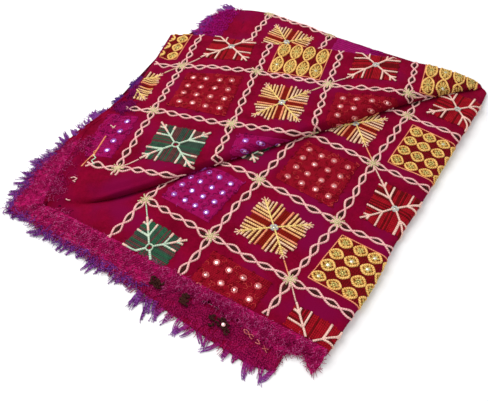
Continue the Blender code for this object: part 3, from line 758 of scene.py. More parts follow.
# closed skins over blocks of rings, numbered from start: points and faces
def skins(blocks, start=0):
    quads, caps = [], []
    for block in blocks:
        rings, size = block.shape[:2]
        base, last = start + size * np.arange(rings - 1)[:, None], start + size * (rings - 1)
        a, b = np.arange(size)[None], (np.arange(size)[None] + 1) % size
        quads.append(np.stack([base + a, base + b, base + size + b, base + size + a], axis=-1).reshape(-1, 4))
        caps += [start + np.arange(size)[::-1], last + np.arange(size)]
        start += size * rings
    return np.concatenate([block.reshape(-1, 3) for block in blocks]), np.concatenate(quads), np.array(caps)


def flatUv(first, second):
    return np.stack(np.broadcast_arrays(first, second), axis=-1).reshape(-1, 2)


def upward(count):
    return np.tile((0.0, 0.0, 1.0), (count, 1))


threadSection = np.array(((-1.0, -0.30), (-0.66, 0.66), (0.0, 1.0), (0.66, 0.66), (1.0, -0.30)))
roundSection = np.array(((-1.0, 0.0), (0.0, 1.0), (1.0, 0.0), (0.0, -1.0)))


# closed tubes along paths of (points, normals, half width, half height)
def tubePiece(name, paths, section, material):
    blocks, uv = [], []
    around = np.abs(np.arange(len(section)) - len(section) // 2) * 0.001
    for path, normal, wide, tall in paths:
        way = unit(np.gradient(path, axis=0))
        side = unit(np.cross(way, normal))
        blocks.append(path[:, None] + side[:, None] * (section[None, :, :1] * wide[:, None, None])
                      + np.cross(side, way)[:, None] * (section[None, :, 1:] * tall[:, None, None]))
        passed = np.concatenate([[0], np.cumsum(np.linalg.norm(np.diff(path, axis=0), axis=1))])
        uv.append(flatUv(passed[:, None], around[None]))
    points, *faces = skins(blocks)
    return meshPiece(name, points, faces, material, np.concatenate(uv))


loosePaths = {}  # thread: paths that are laid one by one, on the hem and the lower layer


def looseThread(thread, place, normal, width, lift):
    count = max(4, int(np.linalg.norm(np.diff(place, axis=0), axis=1).sum() / 0.0015))
    at, passed = np.linspace(0, 1, count), np.linspace(0, 1, len(place))
    path, up = (np.stack([np.interp(at, passed, rows[:, k]) for k in range(3)], axis=1) for rows in (place, normal))
    wide = np.full(count, width)
    loosePaths.setdefault(thread, []).append((path + up * lift, up, wide, wide * 0.9))


# every stitch of one thread, laid on the cloth and joined to one piece
def sewDown(name, stitches, material):
    paths = list(loosePaths.get(name, ()))
    for wing in ("front", "upper", "rear"):
        mine = [s for s in stitches if s[0] == wing]
        if not mine:
            continue
        spots = np.concatenate([s[1] for s in mine])
        place, normal, found = onCloth(wing, toPlan(wing, spots))
        found &= kept(wing, spots)
        start = 0
        for _, line, wide, tall, lift in mine:
            edges = np.flatnonzero(np.diff(np.concatenate([[0], found[start:start + len(line)].astype(int), [0]])))
            for a, b in zip(edges[::2], edges[1::2]):
                if b - a >= 3:
                    cut = slice(start + a, start + b)
                    raised = place[cut] + normal[cut] * (lift[a:b] + 0.0001)[:, None]
                    raised[:, 2] = np.maximum(raised[:, 2], foldShape["lowest"])
                    paths.append((raised, normal[cut], wide[a:b], tall[a:b]))
            start += len(line)
    return tubePiece(name, paths, threadSection, material)


def linear(colour):
    parts = [int(colour[k:k + 2], 16) / 255 for k in (1, 3, 5)]
    return (*[c / 12.92 if c <= 0.04045 else ((c + 0.055) / 1.055) ** 2.4 for c in parts], 1.0)


def addNode(tree, kind, settings, inputs):
    node = tree.nodes.new("ShaderNode" + kind)
    for key, value in settings.items():
        setattr(node, key, value)
    for key, value in inputs.items():
        if isinstance(value, bpy.types.NodeSocket):
            tree.links.new(value, node.inputs[key])
        else:
            node.inputs[key].default_value = value
    return node


def noise(tree, place, scale, detail, **more):
    inputs = {"Vector": place["Object"], "Scale": scale, "Detail": detail, **more}
    return addNode(tree, "TexNoise", {}, inputs).outputs["Fac"]


def bands(tree, place, direction, scale, distortion, **more):
    inputs = {"Vector": place["UV"], "Scale": scale, "Distortion": distortion, **more}
    return addNode(tree, "TexWave", {"bands_direction": direction}, inputs).outputs["Fac"]


def reckon(tree, operation, *values):
    return addNode(tree, "Math", {"operation": operation}, dict(enumerate(values))).outputs[0]


def between(tree, value, low, high, lowest=0.0):
    inputs = {"Value": value, "From Min": low, "From Max": high, "To Min": lowest}
    return addNode(tree, "MapRange", {}, inputs).outputs["Result"]


def blend(tree, share, first, second, kind="MIX"):
    return addNode(tree, "Mix", {"data_type": "RGBA", "blend_type": kind}, {0: share, 6: first, 7: second}).outputs[2]


# a material with its texture places; the look is added to it and closed with finish
def newMaterial(name, roughness, sheen=0.0, sheenTint="#FFFFFF", specular=0.5):
    material = bpy.data.materials.new(name)
    material.use_nodes = True
    tree = material.node_tree
    shader = tree.nodes["Principled BSDF"]
    shader.inputs["Roughness"].default_value = roughness
    shader.inputs["IOR"].default_value = 1.5
    shader.inputs["Specular IOR Level"].default_value = specular
    shader.inputs["Sheen Weight"].default_value = sheen
    shader.inputs["Sheen Roughness"].default_value = 0.4
    shader.inputs["Sheen Tint"].default_value = linear(sheenTint)
    return material, tree, shader, addNode(tree, "TexCoord", {}, {}).outputs


def finish(tree, shader, colour, bump, depth, height):
    tree.links.new(colour, shader.inputs["Base Color"])
    raised = addNode(tree, "Bump", {}, {"Strength": bump, "Distance": depth, "Height": height})
    tree.links.new(raised.outputs["Normal"], shader.inputs["Normal"])


crepeLook = {"roughness": 0.85, "sheen": 0.02, "specular": 0.03, "threadGap": 0.0012, "bump": 0.35}


# crepe woven from fine silk: matt, with a slightly uneven dye that gives the eye a deep, soft red
def wovenCloth(name, low, high, patch, sheenTint):
    material, tree, shader, place = newMaterial(name, crepeLook["roughness"], crepeLook["sheen"], sheenTint,
                                                crepeLook["specular"])
    fine = noise(tree, place, 420.0, 2.0)
    both = reckon(tree, "MULTIPLY_ADD", fine, 0.5, noise(tree, place, 30.0, 5.0, Roughness=0.65))
    colour = blend(tree, between(tree, both, 0.55, 0.95), linear(low), linear(high))
    where = between(tree, noise(tree, place, 14.0, 3.0), 0.48, 0.66)
    turns = 1.0 / crepeLook["threadGap"] / 3.1
    warp, weft = (bands(tree, place, axis, turns, 1.2, Detail=1.0) for axis in "XY")
    relief = reckon(tree, "ADD", reckon(tree, "MULTIPLY", warp, weft), fine)
    finish(tree, shader, blend(tree, where, colour, linear(patch)), crepeLook["bump"], 0.0006, relief)
    return material


# stranded silk or cotton: a slanting twist along the thread, whose darker and lighter stripes are painted shade and
# highlight on the plies, over a slightly uneven tone
def yarn(name, dark, light, roughness=0.8, twist=0.0020, bump=0.5, tips=None):
    material, tree, shader, place = newMaterial(name, roughness, 0.02, light, 0.06)
    ply = bands(tree, place, "DIAGONAL", 0.32 / twist, 0.8)
    both = reckon(tree, "MULTIPLY_ADD", ply, 0.5, noise(tree, place, 160.0, 3.0))
    tone = between(tree, both, 0.42, 0.95)
    colour = blend(tree, tone, linear(dark), linear(light))
    if tips:  # the free ends took another dye: its shaded and lit tones, painted shade and highlight of the twist, and how far along it is full
        low, high, fullAt = tips
        passed = addNode(tree, "SeparateXYZ", {}, {"Vector": place["UV"]}).outputs["X"]
        ends = blend(tree, tone, linear(low), linear(high))
        colour = blend(tree, between(tree, passed, 0.002, fullAt), colour, ends)
    finish(tree, shader, colour, bump, 0.0004, ply)
    return material


print("weaving the materials")
crepe = wovenCloth("crimsonSilkCrepe", "#66001C", "#86022B", "#760336", "#C03070")
threadTwist, threadBump = 0.0016, 0.6
threadLooks = {  # thread: shaded ply tone, lit ply tone, roughness; the two tones are painted shade and highlight of the twist
    "chainThread": ("#C08082", "#F8C2BC", 0.75), "knotThread": ("#96865E", "#DCCCA0", 0.75),
    # the next two are painted shade: the dark stitch in each chain link, which also makes the real dark loops of the
    # lower layer, and the dark lines in the gaps of the gold stars
    "shadeAndDarkStitch": ("#200A0C", "#42201C", 0.85), "umberStitch": ("#3A0C0C", "#64180E", 0.85),
    "darkRed": ("#4A0208", "#6E0A10", 0.80), "umberRed": ("#5A0A08", "#861408", 0.80),
    "starGold": ("#AC7838", "#FACE90", 0.70), "starCream": ("#A87E5C", "#F8D2B0", 0.70),
    "tipThread": ("#CC8C7A", "#FCCAB6", 0.75), "spineYellow": ("#C09C4C", "#FCE290", 0.70),
    "orangeThread": ("#C65E3C", "#F8A47C", 0.68), "amberThread": ("#CC7C40", "#F6B884", 0.68),
    "mintThread": ("#8AAC94", "#D2E0C8", 0.70), "roseThread": ("#C49488", "#F8D0C0", 0.72),
    "silverThread": ("#8A8C88", "#CCCCC6", 0.65), "redSatin": ("#72020E", "#A80C20", 0.60),
    "greenSatin": ("#1A4430", "#2E5C42", 0.60), "pineSatin": ("#22342A", "#3C5044", 0.70),
    "duskSatin": ("#4A262A", "#683E3C", 0.75), "redLoops": ("#6E0414", "#940A22", 0.85),
    "redLoopsLight": ("#981A20", "#C44040", 0.85), "redLoopsDeep": ("#68020F", "#880A1C", 0.85),
    "magentaLoops": ("#7E0440", "#9E0A58", 0.85), "magentaLoopsLight": ("#960E5C", "#B83084", 0.85),
    "magentaLoopsDeep": ("#680236", "#84064A", 0.85), "purpleLoops": ("#7A2088", "#B060BC", 0.80),
    "roseHalo": ("#A43840", "#DC7878", 0.80), "farSatin": ("#78044A", "#9C0A62", 0.60),
    "farSatinDeep": ("#740450", "#92066C", 0.70), "ringGround": ("#50040A", "#780A12", 0.80),
    "ringDark": ("#6E3E16", "#A06C2C", 0.75), "ringGold": ("#B87A2C", "#F8CC7C", 0.68),
    "ringOlive": ("#86742C", "#D8C474", 0.70), "ringPale": ("#8E8444", "#CABC74", 0.68),
}

print("making the cloth")


def clothPiece(name, points, faces, material, uv, thick=foldShape["thick"]):
    piece = meshPiece(name, points.reshape(-1, 3), [faces], material, uv)
    wall = piece.modifiers.new("thickness", "SOLIDIFY")
    wall.thickness, wall.offset = thick, -1.0
    return piece


# the faces of a grid, wound so that they face up in the column named
def gridFaces(points, upColumn):
    rows, columns = points.shape[:2]
    index = np.arange(rows * columns).reshape(rows, columns)
    quads = np.stack([index[:-1, :-1], index[1:, :-1], index[1:, 1:], index[:-1, 1:]], axis=-1).reshape(-1, 4)
    corner, r = points[rows // 2, upColumn], rows // 2
    turn = np.cross(points[r + 1, upColumn] - corner, points[r, upColumn + 1] - corner)
    return quads if turn[2] > 0 else quads[:, ::-1]


tipRows, foldLength = 6, 0.62
wholeCloth = closedTip(clothGrid, tipRows)
wholeCloth[..., 2] = np.maximum(wholeCloth[..., 2], foldShape["lowest"])
arcs = np.concatenate([np.repeat(clothGrid["arc"][:1], tipRows, axis=0), clothGrid["arc"]])
alongs = np.concatenate([np.linspace(-0.01, 0, tipRows), clothGrid["along"]]) * foldLength
cloth = clothPiece("embroideredCloth", wholeCloth, gridFaces(wholeCloth, 110), crepe,
                   flatUv(arcs, alongs[:, None]))
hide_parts("front_wing", "upper_wing", "plain_border")
rearLayer = clothPiece("backLayer", rearGrid["points"], gridFaces(rearGrid["points"], 10), crepe,
                       flatUv(rearGrid["arc"], rearGrid["along"][:, None] * foldLength))
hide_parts("back_layer")

endLay = layOut(1.0)
endWay = endLay["frontWay"][0]
endOut = np.array((endWay[1], -endWay[0]))
endWidth = float(endLay["frontWidth"][0, 0])


# a place in plan off the fringed front end, from the left tip to the right fold
def frontEnd(share, out):
    share, out = np.broadcast_arrays(np.asarray(share, float), np.asarray(out, float))
    return endLay["crease"][0] + endWay * (share * endWidth)[..., None] + endOut * out[..., None]


# Cut thread ends and stray links on the plain hem: thread, half width, places in plan in tenths of a millimetre
strays = (
    ("chainThread", 0.0010, (-2520, 310, -2470, 325, -2425, 295, -2460, 262)),
    ("chainThread", 0.0010, (-2480, 262, -2440, 235)),
    ("chainThread", 0.0009, (-2550, -30, -2510, -52, -2488, -44)),
    ("orangeThread", 0.0013, (-2120, 1120, -2185, 890, -2225, 740)),
    ("orangeThread", 0.0011, (-2225, 760, -2330, 600, -2385, 500)),
    ("amberThread", 0.0010, (-2195, 830, -2255, 800, -2215, 700, -2285, 690)),
    ("mintThread", 0.0010, (-2240, 720, -2190, 640, -2245, 590, -2200, 530)),
    ("roseThread", 0.0009, (-2075, 1330, -2030, 1305, -1995, 1335)),
    ("roseThread", 0.0008, (-2050, 1285, -2010, 1300)),
)
for thread, half, plan in strays:
    place, normal, found = onCloth("upper", np.array(plan).reshape(-1, 2) / 10000)
    if found.all():
        looseThread(thread, place, normal, half, 0.0012)

# What shows of the lower layer's own embroidery: three dark leaf ends, a mirror and a bit of chain
lowerLook = {"tangles": ((0.488, 0.0190, 0.0085), (0.592, 0.0205, 0.0100), (0.710, 0.0275, 0.0150)),
             "loops": 72, "loop": (0.0032, 0.0022), "loopThread": 0.0015, "frontSpan": 0.449,
             "mirror": (0.722, 0.0275, 0.0092), "mirrorSize": 0.0026, "chain": 0.0022, "chainThread": 0.00060}


def frontPlace(share, out, height):
    return np.append(frontEnd(share, out), height)


for share, out, reach in lowerLook["tangles"]:
    for k in range(lowerLook["loops"]):
        turn = draw.uniform(0, 6.28)
        middle = np.array((share, out)) + draw.uniform(-1, 1, 2) * (reach / lowerLook["frontSpan"], reach * 0.5)
        if k % 5 == 4:  # one in five comes through to this side
            (long, wide), height = lowerLook["loop"], 0.0076 + 0.0004 * (k % 3)
            bend = turn + np.linspace(0, 3.4, 6)
            loop = np.array([frontPlace(middle[0] + long / lowerLook["frontSpan"] * math.cos(w),
                                        middle[1] + wide * math.sin(w), height) for w in bend])
            looseThread("shadeAndDarkStitch", loop, upward(6), lowerLook["loopThread"], 0.0)
mirror("lower", frontPlace(*lowerLook["mirror"]), lowerLook["mirrorSize"], "rose")
for sign in (1, -1):
    t = np.linspace(0, 1, 26)
    wave = lowerLook["chain"] * sign * np.sin(t * math.pi * 4.5)
    places = np.array([frontPlace(0.775 + 0.085 * a, 0.0195 + 0.0095 * a + w, 0.0070 - 0.0015 * a)
                       for a, w in zip(t, wave)])
    for start, end in ((0, 11), (13, 18), (20, 26)):
        looseThread("roseHalo", places[start:end], upward(end - start), lowerLook["chainThread"], 0.0)

print("sewing the threads down")
for name, stitches in sewing.items():
    dark, light, roughness = threadLooks[name]
    sewDown(name, stitches, yarn(name + "Yarn", dark, light, roughness, threadTwist, threadBump))

# Mirrors: small domed glass discs under a ring of stitches
mirrorLooks = {"rose": "#FFCCCA", "lilac": "#EACCFF", "pale": "#F2E6D0", "green": "#D8BC6C"}
mirrorShape = {"sides": 12, "tilt": 0.10, "rings": ((1.0, 0.0003), (1.0, 0.0010), (0.8, 0.0013)),
               "top": 0.0014, "base": 0.0003}


# silvered glass cut by hand: bright, a little uneven, so each one catches the light its own way
def mirrorGlass(name, tint):
    material, tree, shader, place = newMaterial(name, 0.30)
    shader.inputs["Metallic"].default_value = 1.0
    wave = noise(tree, place, 330.0, 1.0)
    colour = blend(tree, 1.0, linear(tint), between(tree, wave, 0.3, 0.7, 0.82), "MULTIPLY")
    finish(tree, shader, colour, 0.25, 0.0004, wave)
    return material


# each disc has a bevelled rim and a slightly domed face, tilted a little its own way
def setMirrors(tone, tint):
    count, points = mirrorShape["sides"], []
    ring, angle = np.arange(count), np.linspace(0, 2 * math.pi, count, endpoint=False)
    after = (ring + 1) % count
    for wing in ("front", "upper", "rear", "lower"):
        mine = [m for m in mirrorsAt if m[0] == wing and m[3] == tone]
        if not mine:
            continue
        spots = np.array([m[1] for m in mine])
        place, normal, found = spots, upward(len(mine)), np.ones(len(mine), bool)
        if wing != "lower":
            place, normal, found = onCloth(wing, toPlan(wing, spots))
            found &= kept(wing, spots)
        for (_, _, radius, _), centre, up, good in zip(mine, place, normal, found):
            if not good:
                continue
            up = up + draw.normal(0, mirrorShape["tilt"], 3)
            up /= np.linalg.norm(up)
            side = np.cross(up, (0.0, 0.0, 1.0) if abs(up[2]) < 0.9 else (1.0, 0.0, 0.0))
            side /= np.linalg.norm(side)
            circle = np.cos(angle)[:, None] * side + np.sin(angle)[:, None] * np.cross(up, side)
            points += [centre + circle * radius * reach + up * height for reach, height in mirrorShape["rings"]]
            points.append([centre + up * mirrorShape["top"], centre + up * mirrorShape["base"]])
    walls = [np.stack([low + ring, low + after, low + count + after, low + count + ring], axis=1)
             for low in (0, count)]
    fans = [np.stack([2 * count + ring, 2 * count + after, np.full(count, 3 * count)], axis=1),
            np.stack([after, ring, np.full(count, 3 * count + 1)], axis=1)]
    starts = (3 * count + 2) * np.arange(len(points) // 4)[:, None, None]
    faces = [(starts + np.concatenate(block)).reshape(-1, block[0].shape[1]) for block in (walls, fans)]
    return meshPiece(tone + "Mirrors", np.concatenate(points), faces, mirrorGlass(tone + "MirrorGlass", tint))


mirrorPieces = [setMirrors(tone, tint) for tone, tint in mirrorLooks.items()]

underShape = {
    "share": (0.03, 0.13, 0.26, 0.44, 0.52, 0.68, 0.84, 0.90),                # of the front end, from the left
    "reach": (0.0165, 0.0215, 0.0270, 0.0340, 0.0420, 0.0490, 0.0540, 0.0450),  # past the front end
    "start": 0.0094,    # where it comes out from under the stack
    "ripples": ((0.0004, 46, 240), (0.0002, 91, 1)),
}


# one ring round the hidden layers: right side, front, crease, upper wing, far side and floor
def coreRing(along, out, level):
    lay = layOut(along, out)
    inset, reach = foldShape["coreInset"], -lay["frontWidth"]
    turn = np.minimum(foldShape["rightRound"], 0.45 * lay["frontWidth"])
    top = frontTop(lay, reach + turn) - inset
    rimAt, rimZ = turned(reach + turn, reach + inset, top, 0.0, np.linspace(-88, 70, 9))
    flat = (reach + turn) * np.linspace(1, 0, 20)[None]
    farTurn = np.minimum(foldShape["farRound"], 0.3 * lay["upperWidth"])
    first = 0.0036 if along < foldShape["openFrom"] else 0.006
    upper = first + (lay["upperWidth"] - farTurn - first) * (np.linspace(0, 1, 24) ** 1.4)[None]
    slope = (upperTop(lay, upper + 0.004) - upperTop(lay, upper - 0.004)) / 0.008
    sink = inset + 0.003 * np.abs(slope) + 0.0012 * (1 - ramp(upper, first, 0.006))
    upperZ = upperTop(lay, upper) - sink
    foot = lay["backZ"] - 0.0023 if 0.15 <= along <= 0.93 else lay["backZ"] * 0 + 0.003
    edge = lay["upperWidth"] - 0.0033
    backTurn = np.minimum(foldShape["backRound"], 0.4 * lay["rearWidth"])
    end = lay["upperWidth"] + np.maximum(lay["rearWidth"] - backTurn - inset, 0.002)
    closing = edge + (end - edge) * np.array((0.0, 0.25, 0.5, 0.75, 1.0))[None]
    floorAt = end + (rimAt[:, :1] - end) * np.linspace(0, 1, 8)[None, :-1]
    across = np.concatenate([rimAt, flat, upper, edge - 0.0006, closing, end + 0.0008, floorAt], axis=1)
    shoulder = np.maximum(foot + 0.45 * (upperZ[:, -1:] - foot) - 0.002, foot + 0.0002)
    height = np.concatenate([rimZ, frontTop(lay, flat) - inset, upperZ, shoulder, closing * 0 + foot, 0.5 * foot,
                             floorAt * 0], axis=1)
    return np.concatenate([placeOn(lay, across), np.clip(height, 0, level)[..., None]], axis=-1)[0]


# one solid under the cloth, with the edges of its layers standing out at the fringed end
def hiddenLayers():
    keys = [(float(a), 0.0, 1.0) for a in np.concatenate([[0.055, 0.075], np.linspace(0.095, 1.0, 52)[:-1]])]
    keys += [(1.0, -0.0034, 1.0), (1.0, -0.0030, 0.0062), (1.0, 0.0045, 0.0057), (1.0, 0.0050, 0.0032),
             (1.0, 0.0088, 0.0029)]
    return np.array([coreRing(*key) for key in keys])


edgeShape = {
    "layers": ((0.0050, 0.0012), (0.0085, 0.0036), (0.0125, 0.0052), (0.0165, 0.0064)),    # drop, reach
    "roll": ((-0.012, 0.0), (-0.003, 0.0002), (-0.0006, 0.0002), (0.0, -0.0006), (-0.0006, -0.0013),
             (-0.003, -0.0014), (-0.012, -0.0014)),
}


# places along the fringed left end, across from the crease, and the way out from each
def leftEnd(across):
    spot = placeOn(endLay, across)[0]
    way = placeOn(layOut(1.0, 0.001), across)[0] - spot
    return spot, way / np.linalg.norm(way, axis=1, keepdims=True)


# the rolled edges of the layers beneath, one over another, along the fringed left end
def layerEdges():
    blocks, shares = [], np.linspace(0.0, 0.985, 120)
    across = (shares * (endLay["upperWidth"][0, 0] - 0.006))[None]
    top = upperTop(endLay, across)[0]
    spot, way = leftEnd(across)
    for k, (drop, out) in enumerate(edgeShape["layers"]):
        wave = 0.0010 * np.sin(shares * 31 + 2.1 * k) + 0.0006 * np.sin(shares * 77 + k)
        z = np.clip(top - drop * np.clip(top / 0.026, 0.35, 1.0) + 0.5 * wave, 0.0042 - 0.0006 * k, None)
        rows = [np.concatenate([spot + way * (out + wave + back)[:, None], (z + lift)[:, None]], axis=1)
                for back, lift in edgeShape["roll"]]
        blocks.append(np.array(rows).transpose(1, 0, 2))  # place along the end, place round the roll
    return blocks


print("stacking the hidden layers")
# the hidden layers get a darker copy of the crepe: painted shade for the layers folded under the stack
shadedCrepe = wovenCloth("shadedFoldedCrepe", "#4A0018", "#6A0226", "#5A0430", "#A03060")
corePoints, coreQuads, coreCaps = skins([hiddenLayers()])
edgePoints, edgeQuads, edgeCaps = skins(layerEdges(), len(corePoints))
folded = meshPiece("foldedLayers", np.concatenate([corePoints, edgePoints]),
                   [np.concatenate([coreQuads, edgeQuads]), coreCaps, edgeCaps], shadedCrepe)
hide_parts("hidden_layers")

shares = np.linspace(underShape["share"][0], underShape["share"][-1], 170)
reach = np.interp(shares, underShape["share"], underShape["reach"])
rowShares = np.concatenate([np.linspace(0, 0.93, 12), [0.97, 1.0]])
rimDrop = np.concatenate([np.zeros(12), [0.0006, 0.0014]])
outGrid = underShape["start"] + (reach[:, None] - underShape["start"]) * rowShares[None]
(high, turns, outTurns), (low, fastTurns, shift) = underShape["ripples"]
ripple = high * np.sin(shares * turns)[:, None] * np.sin(outGrid * outTurns)
ripple = ripple + low * np.sin(shares * fastTurns + shift)[:, None]
underZ = 0.0031 + ripple * rowShares[None] - rimDrop[None]
underPoints = np.concatenate([frontEnd(shares[:, None], outGrid), underZ[..., None]], axis=-1)
lower = clothPiece("lowerLayer", underPoints, gridFaces(underPoints, 6),
                   wovenCloth("lowerSilkCrepe", "#66001E", "#86042E", "#780442", "#A03060"),
                   flatUv(outGrid, shares[:, None] * endWidth))
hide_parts("under_layer")

# Matted yarn: felted strips with ragged edges over the front end and down the left end
mattedShape = {
    "share": (0.004, 0.03, 0.153, 0.306, 0.355, 0.437, 0.571, 0.658, 0.781, 0.855, 0.888, 0.918, 0.947, 0.986, 0.997),
    "out": (0.0225, 0.0270, 0.0285, 0.0300, 0.0340, 0.030, 0.0145, 0.0085, 0.0140, 0.0205, 0.0220, 0.0165, 0.0160,
            0.0290, 0.0080),
    "leftShare": (0.0, 0.03, 0.09, 0.14, 0.19, 0.23, 0.28, 0.34, 0.41, 0.50, 0.57, 0.62),   # from the crease
    "leftOut": (0.043, 0.045, 0.042, 0.048, 0.045, 0.039, 0.030, 0.022, 0.015, 0.012, 0.006, 0.003),
    "tipTurn": (0.0, 0.45, 0.55, 0.75, 1.0),    # round the tip, from the front end to the left end
    "tipOut": (0.0225, 0.0250, 0.0300, 0.0370, 0.0430),
    "ragged": 0.0016,
    "rough": 0.0004,
    "thick": 0.0012,
    "droop": 0.0009,        # how far the last edge hangs down
    "above": 0.0006,        # height over the cloth where the strips start
    "inside": (0.006, 0.004),    # how far they reach back over it, at the front and at the left
    "fall": (0.013, 0.026),      # how far out they come down, and to what height
    "lie": (0.0054, 0.0046),
    "hemFrom": (0.27, 0.04),     # past this share of the left end the hem is rolled
    "hem": ((0.0022, 0.004), (-0.0012, 0.010)), "hemWide": 0.003,    # the roll and its groove: height, distance in
}


tuftLook = {"lean": 0.34, "lengths": (0.55, 1.10), "wave": 0.22, "waves": (2.5, 5.5), "gather": 0.55,
            "rise": 0.0012, "taper": 0.45}


# a lock of loose yarns that spread from their root and come down to the tip's height
def yarnTuft(paths, root, way, length, height, tipHeight, count, spread, radius, curl=0.5, lean=None):
    side = np.array((-way[1], way[0]))
    lean = draw.normal(0, tuftLook["lean"]) if lean is None else lean
    t = np.linspace(0, 1, 7)
    for _ in range(count):
        offset = draw.uniform(-1, 1) * spread
        own = length * draw.uniform(*tuftLook["lengths"])
        bends = np.sin(t * draw.uniform(*tuftLook["waves"]) + draw.uniform(0, 6))
        wave = curl * own * tuftLook["wave"] * bends * t
        across = offset * (1 - tuftLook["gather"] * t) + lean * own * t ** 1.6 + wave
        plan = root + way * (own * t)[:, None] + side * across[:, None]
        rise = draw.uniform(0.0, tuftLook["rise"]) * np.sin(t * 3.1)
        z = height + (tipHeight - height) * smooth(t * 1.25) + rise
        path = np.concatenate([plan, np.maximum(z, radius * 1.3)[:, None]], axis=1)
        wide = radius * (1.0 - tuftLook["taper"] * t)
        paths.append((path, upward(len(t)), wide, wide))


# locks along an edge: edge(share) gives root, outward way and height
def fringePiece(name, nodes, edge, kind, material):
    paths, place = [], 0.0
    while place < 1.0:
        root, way, height = edge(place)
        length = draw.uniform(*kind["length"]) * (1.0 if draw.random() > 0.15 else 0.6) * kind["share"](place)
        count = int(draw.integers(*kind["yarns"]))
        yarnTuft(paths, root, way, length, height, kind["tipHeight"], count, kind["spread"], kind["radius"])
        place += draw.uniform(*kind["pitch"])
    piece = tubePiece(name, paths, roundSection, material)
    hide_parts(*nodes)
    return piece


def underEdge(share):
    at = underShape["share"][0] + share * (underShape["share"][-1] - underShape["share"][0])
    reach = [np.interp(at + step, underShape["share"], underShape["reach"]) for step in (-0.01, 0, 0.01)]
    run = frontEnd(at + 0.01, reach[2]) - frontEnd(at - 0.01, reach[0])
    return frontEnd(at, reach[1] - 0.003), np.array((run[1], -run[0])) / np.linalg.norm(run), 0.0022


def leftEdge(share):
    out = max(float(np.interp(share, mattedShape["leftShare"], mattedShape["leftOut"])) - 0.008, 0.0030)
    lay = layOut(1.0, out)
    across = np.array([share - 0.01, share, share + 0.01]) * (lay["upperWidth"][0, 0] - 0.008) + 0.006
    spots = placeOn(lay, across[None])[0]
    run = spots[2] - spots[0]
    return spots[1], np.array((-run[1], run[0])) / np.linalg.norm(run), 0.0026


def backEdge(share):
    lay = layOut(0.93)
    run = lay["rearWay"][0]
    root = lay["far"][0] + run * (0.004 + share * (lay["rearWidth"][0, 0] - 0.011))
    return root, np.array((-run[1], run[0])), float(lay["backZ"][0, 0]) - 0.001


# Lengths, spreads and pitches of the fringes; share says how much of its length a lock has at each place
fringes = {
    "lower": {"length": (0.018, 0.026), "tipHeight": 0.0010, "yarns": (10, 18), "spread": 0.0048,
              "radius": 0.00060, "pitch": (0.020, 0.040),
              "share": lambda place: 0.55 + 0.45 * ramp(place * 0.87 + 0.03, 0.40, 0.08)},
    "side": {"length": (0.012, 0.020), "tipHeight": 0.0012, "yarns": (9, 15), "spread": 0.0052,
             "radius": 0.00062, "pitch": (0.022, 0.044),
             "share": lambda place: 1.0 - 0.30 * ramp(place, 0.50, 0.08)},
    "back": {"length": (0.014, 0.022), "tipHeight": 0.0050, "yarns": (12, 20), "spread": 0.0056,
             "radius": 0.00066, "pitch": (0.07, 0.13),
             "share": lambda place: 0.45 + 0.55 * ramp(place, 0.15, 0.30)},
}

print("knotting the fringes")
# frayed silk yarn: magenta where it leaves the cloth, violet and blue towards the free ends
fringeYarn = yarn("violetFringeYarn", "#6A0844", "#A81870", tips=("#3E1256", "#A050B0", 0.022))
sideYarn = yarn("indigoFringeYarn", "#5A0A40", "#961C68", tips=("#400C4A", "#8A489C", 0.015))
lowerFringe = fringePiece("lowerFringe", ("under_fringe",), underEdge, fringes["lower"], fringeYarn)
sideFringe = fringePiece("sideFringe", ("side_fringe", "end_fringe"), leftEdge, fringes["side"], sideYarn)

# Longer tufts laid one by one: from x, y, to x, y in plan, in tenths of a millimetre; the bumps are fuller
longTufts = {
    "edge": ((-2653, 1249, -2728, 1373), (-2753, 1187, -2833, 1357), (-2786, 1126, -2905, 1241),
             (-2816, 1050, -2922, 1124), (-2934, 767, -3106, 877), (-2965, 709, -3179, 809),
             (-3024, 681, -3231, 751), (-3030, 609, -3197, 699), (-2881, 826, -3058, 907),
             (-3096, 426, -3322, 542), (-3129, 385, -3346, 419), (-3156, 316, -3362, 311),
             (-3254, 114, -3409, 104), (-3243, 154, -3394, 157), (-3191, -235, -3380, -225),
             (-3096, -298, -3269, -298), (-3005, -347, -3164, -342), (-2922, -360, -3067, -357),
             (-2840, -555, -2994, -562), (-2790, -602, -2937, -612), (-2668, -626, -2735, -685),
             (-2451, -744, -2536, -855), (-2380, -813, -2474, -881), (-2314, -859, -2385, -926),
             (-2183, -950, -2253, -969), (-2012, -1059, -2136, -1155), (-1959, -1090, -2080, -1206),
             (-1868, -1136, -1962, -1221), (-1654, -1263, -1749, -1355), (-1583, -1313, -1670, -1368),
             (-1489, -1338, -1585, -1358), (-1343, -1532, -1467, -1703), (-1314, -1568, -1406, -1738),
             (-1248, -1627, -1268, -1898), (-1183, -1651, -1214, -1784), (-1113, -1679, -1159, -1807),
             (-2572, 1296, -2734, 1411), (-2411, 1406, -2501, 1533), (-2313, 1502, -2423, 1657)),
    "bump": ((-1900, 1843, -2120, 1972), (-1920, 1749, -2105, 1819), (-1940, 1657, -2081, 1690),
             (-1860, 1914, -2057, 2064), (-1678, 2328, -1880, 2418), (-1700, 2229, -1891, 2282),
             (-1706, 2131, -1862, 2165), (-1639, 2429, -1790, 2534), (-2181, 1566, -2283, 1714),
             (-2112, 1520, -2239, 1602)),
    "loop": ((-2423, 1239, -2589, 1433), (-2371, 1305, -2513, 1546), (-2470, 1153, -2656, 1279),
             (-2298, 1437, -2424, 1683), (-2290, 1520, -2455, 1640), (-2270, 1560, -2405, 1720),
             (-2200, 1600, -2300, 1765), (-2150, 1640, -2215, 1780)),
    "back": ((-266, 4520, -390, 4750), (-328, 4413, -498, 4603), (-482, 4306, -726, 4334),
             (-510, 4201, -673, 4192), (-627, 3994, -764, 3976), (-219, 4575, -280, 4725)),
}
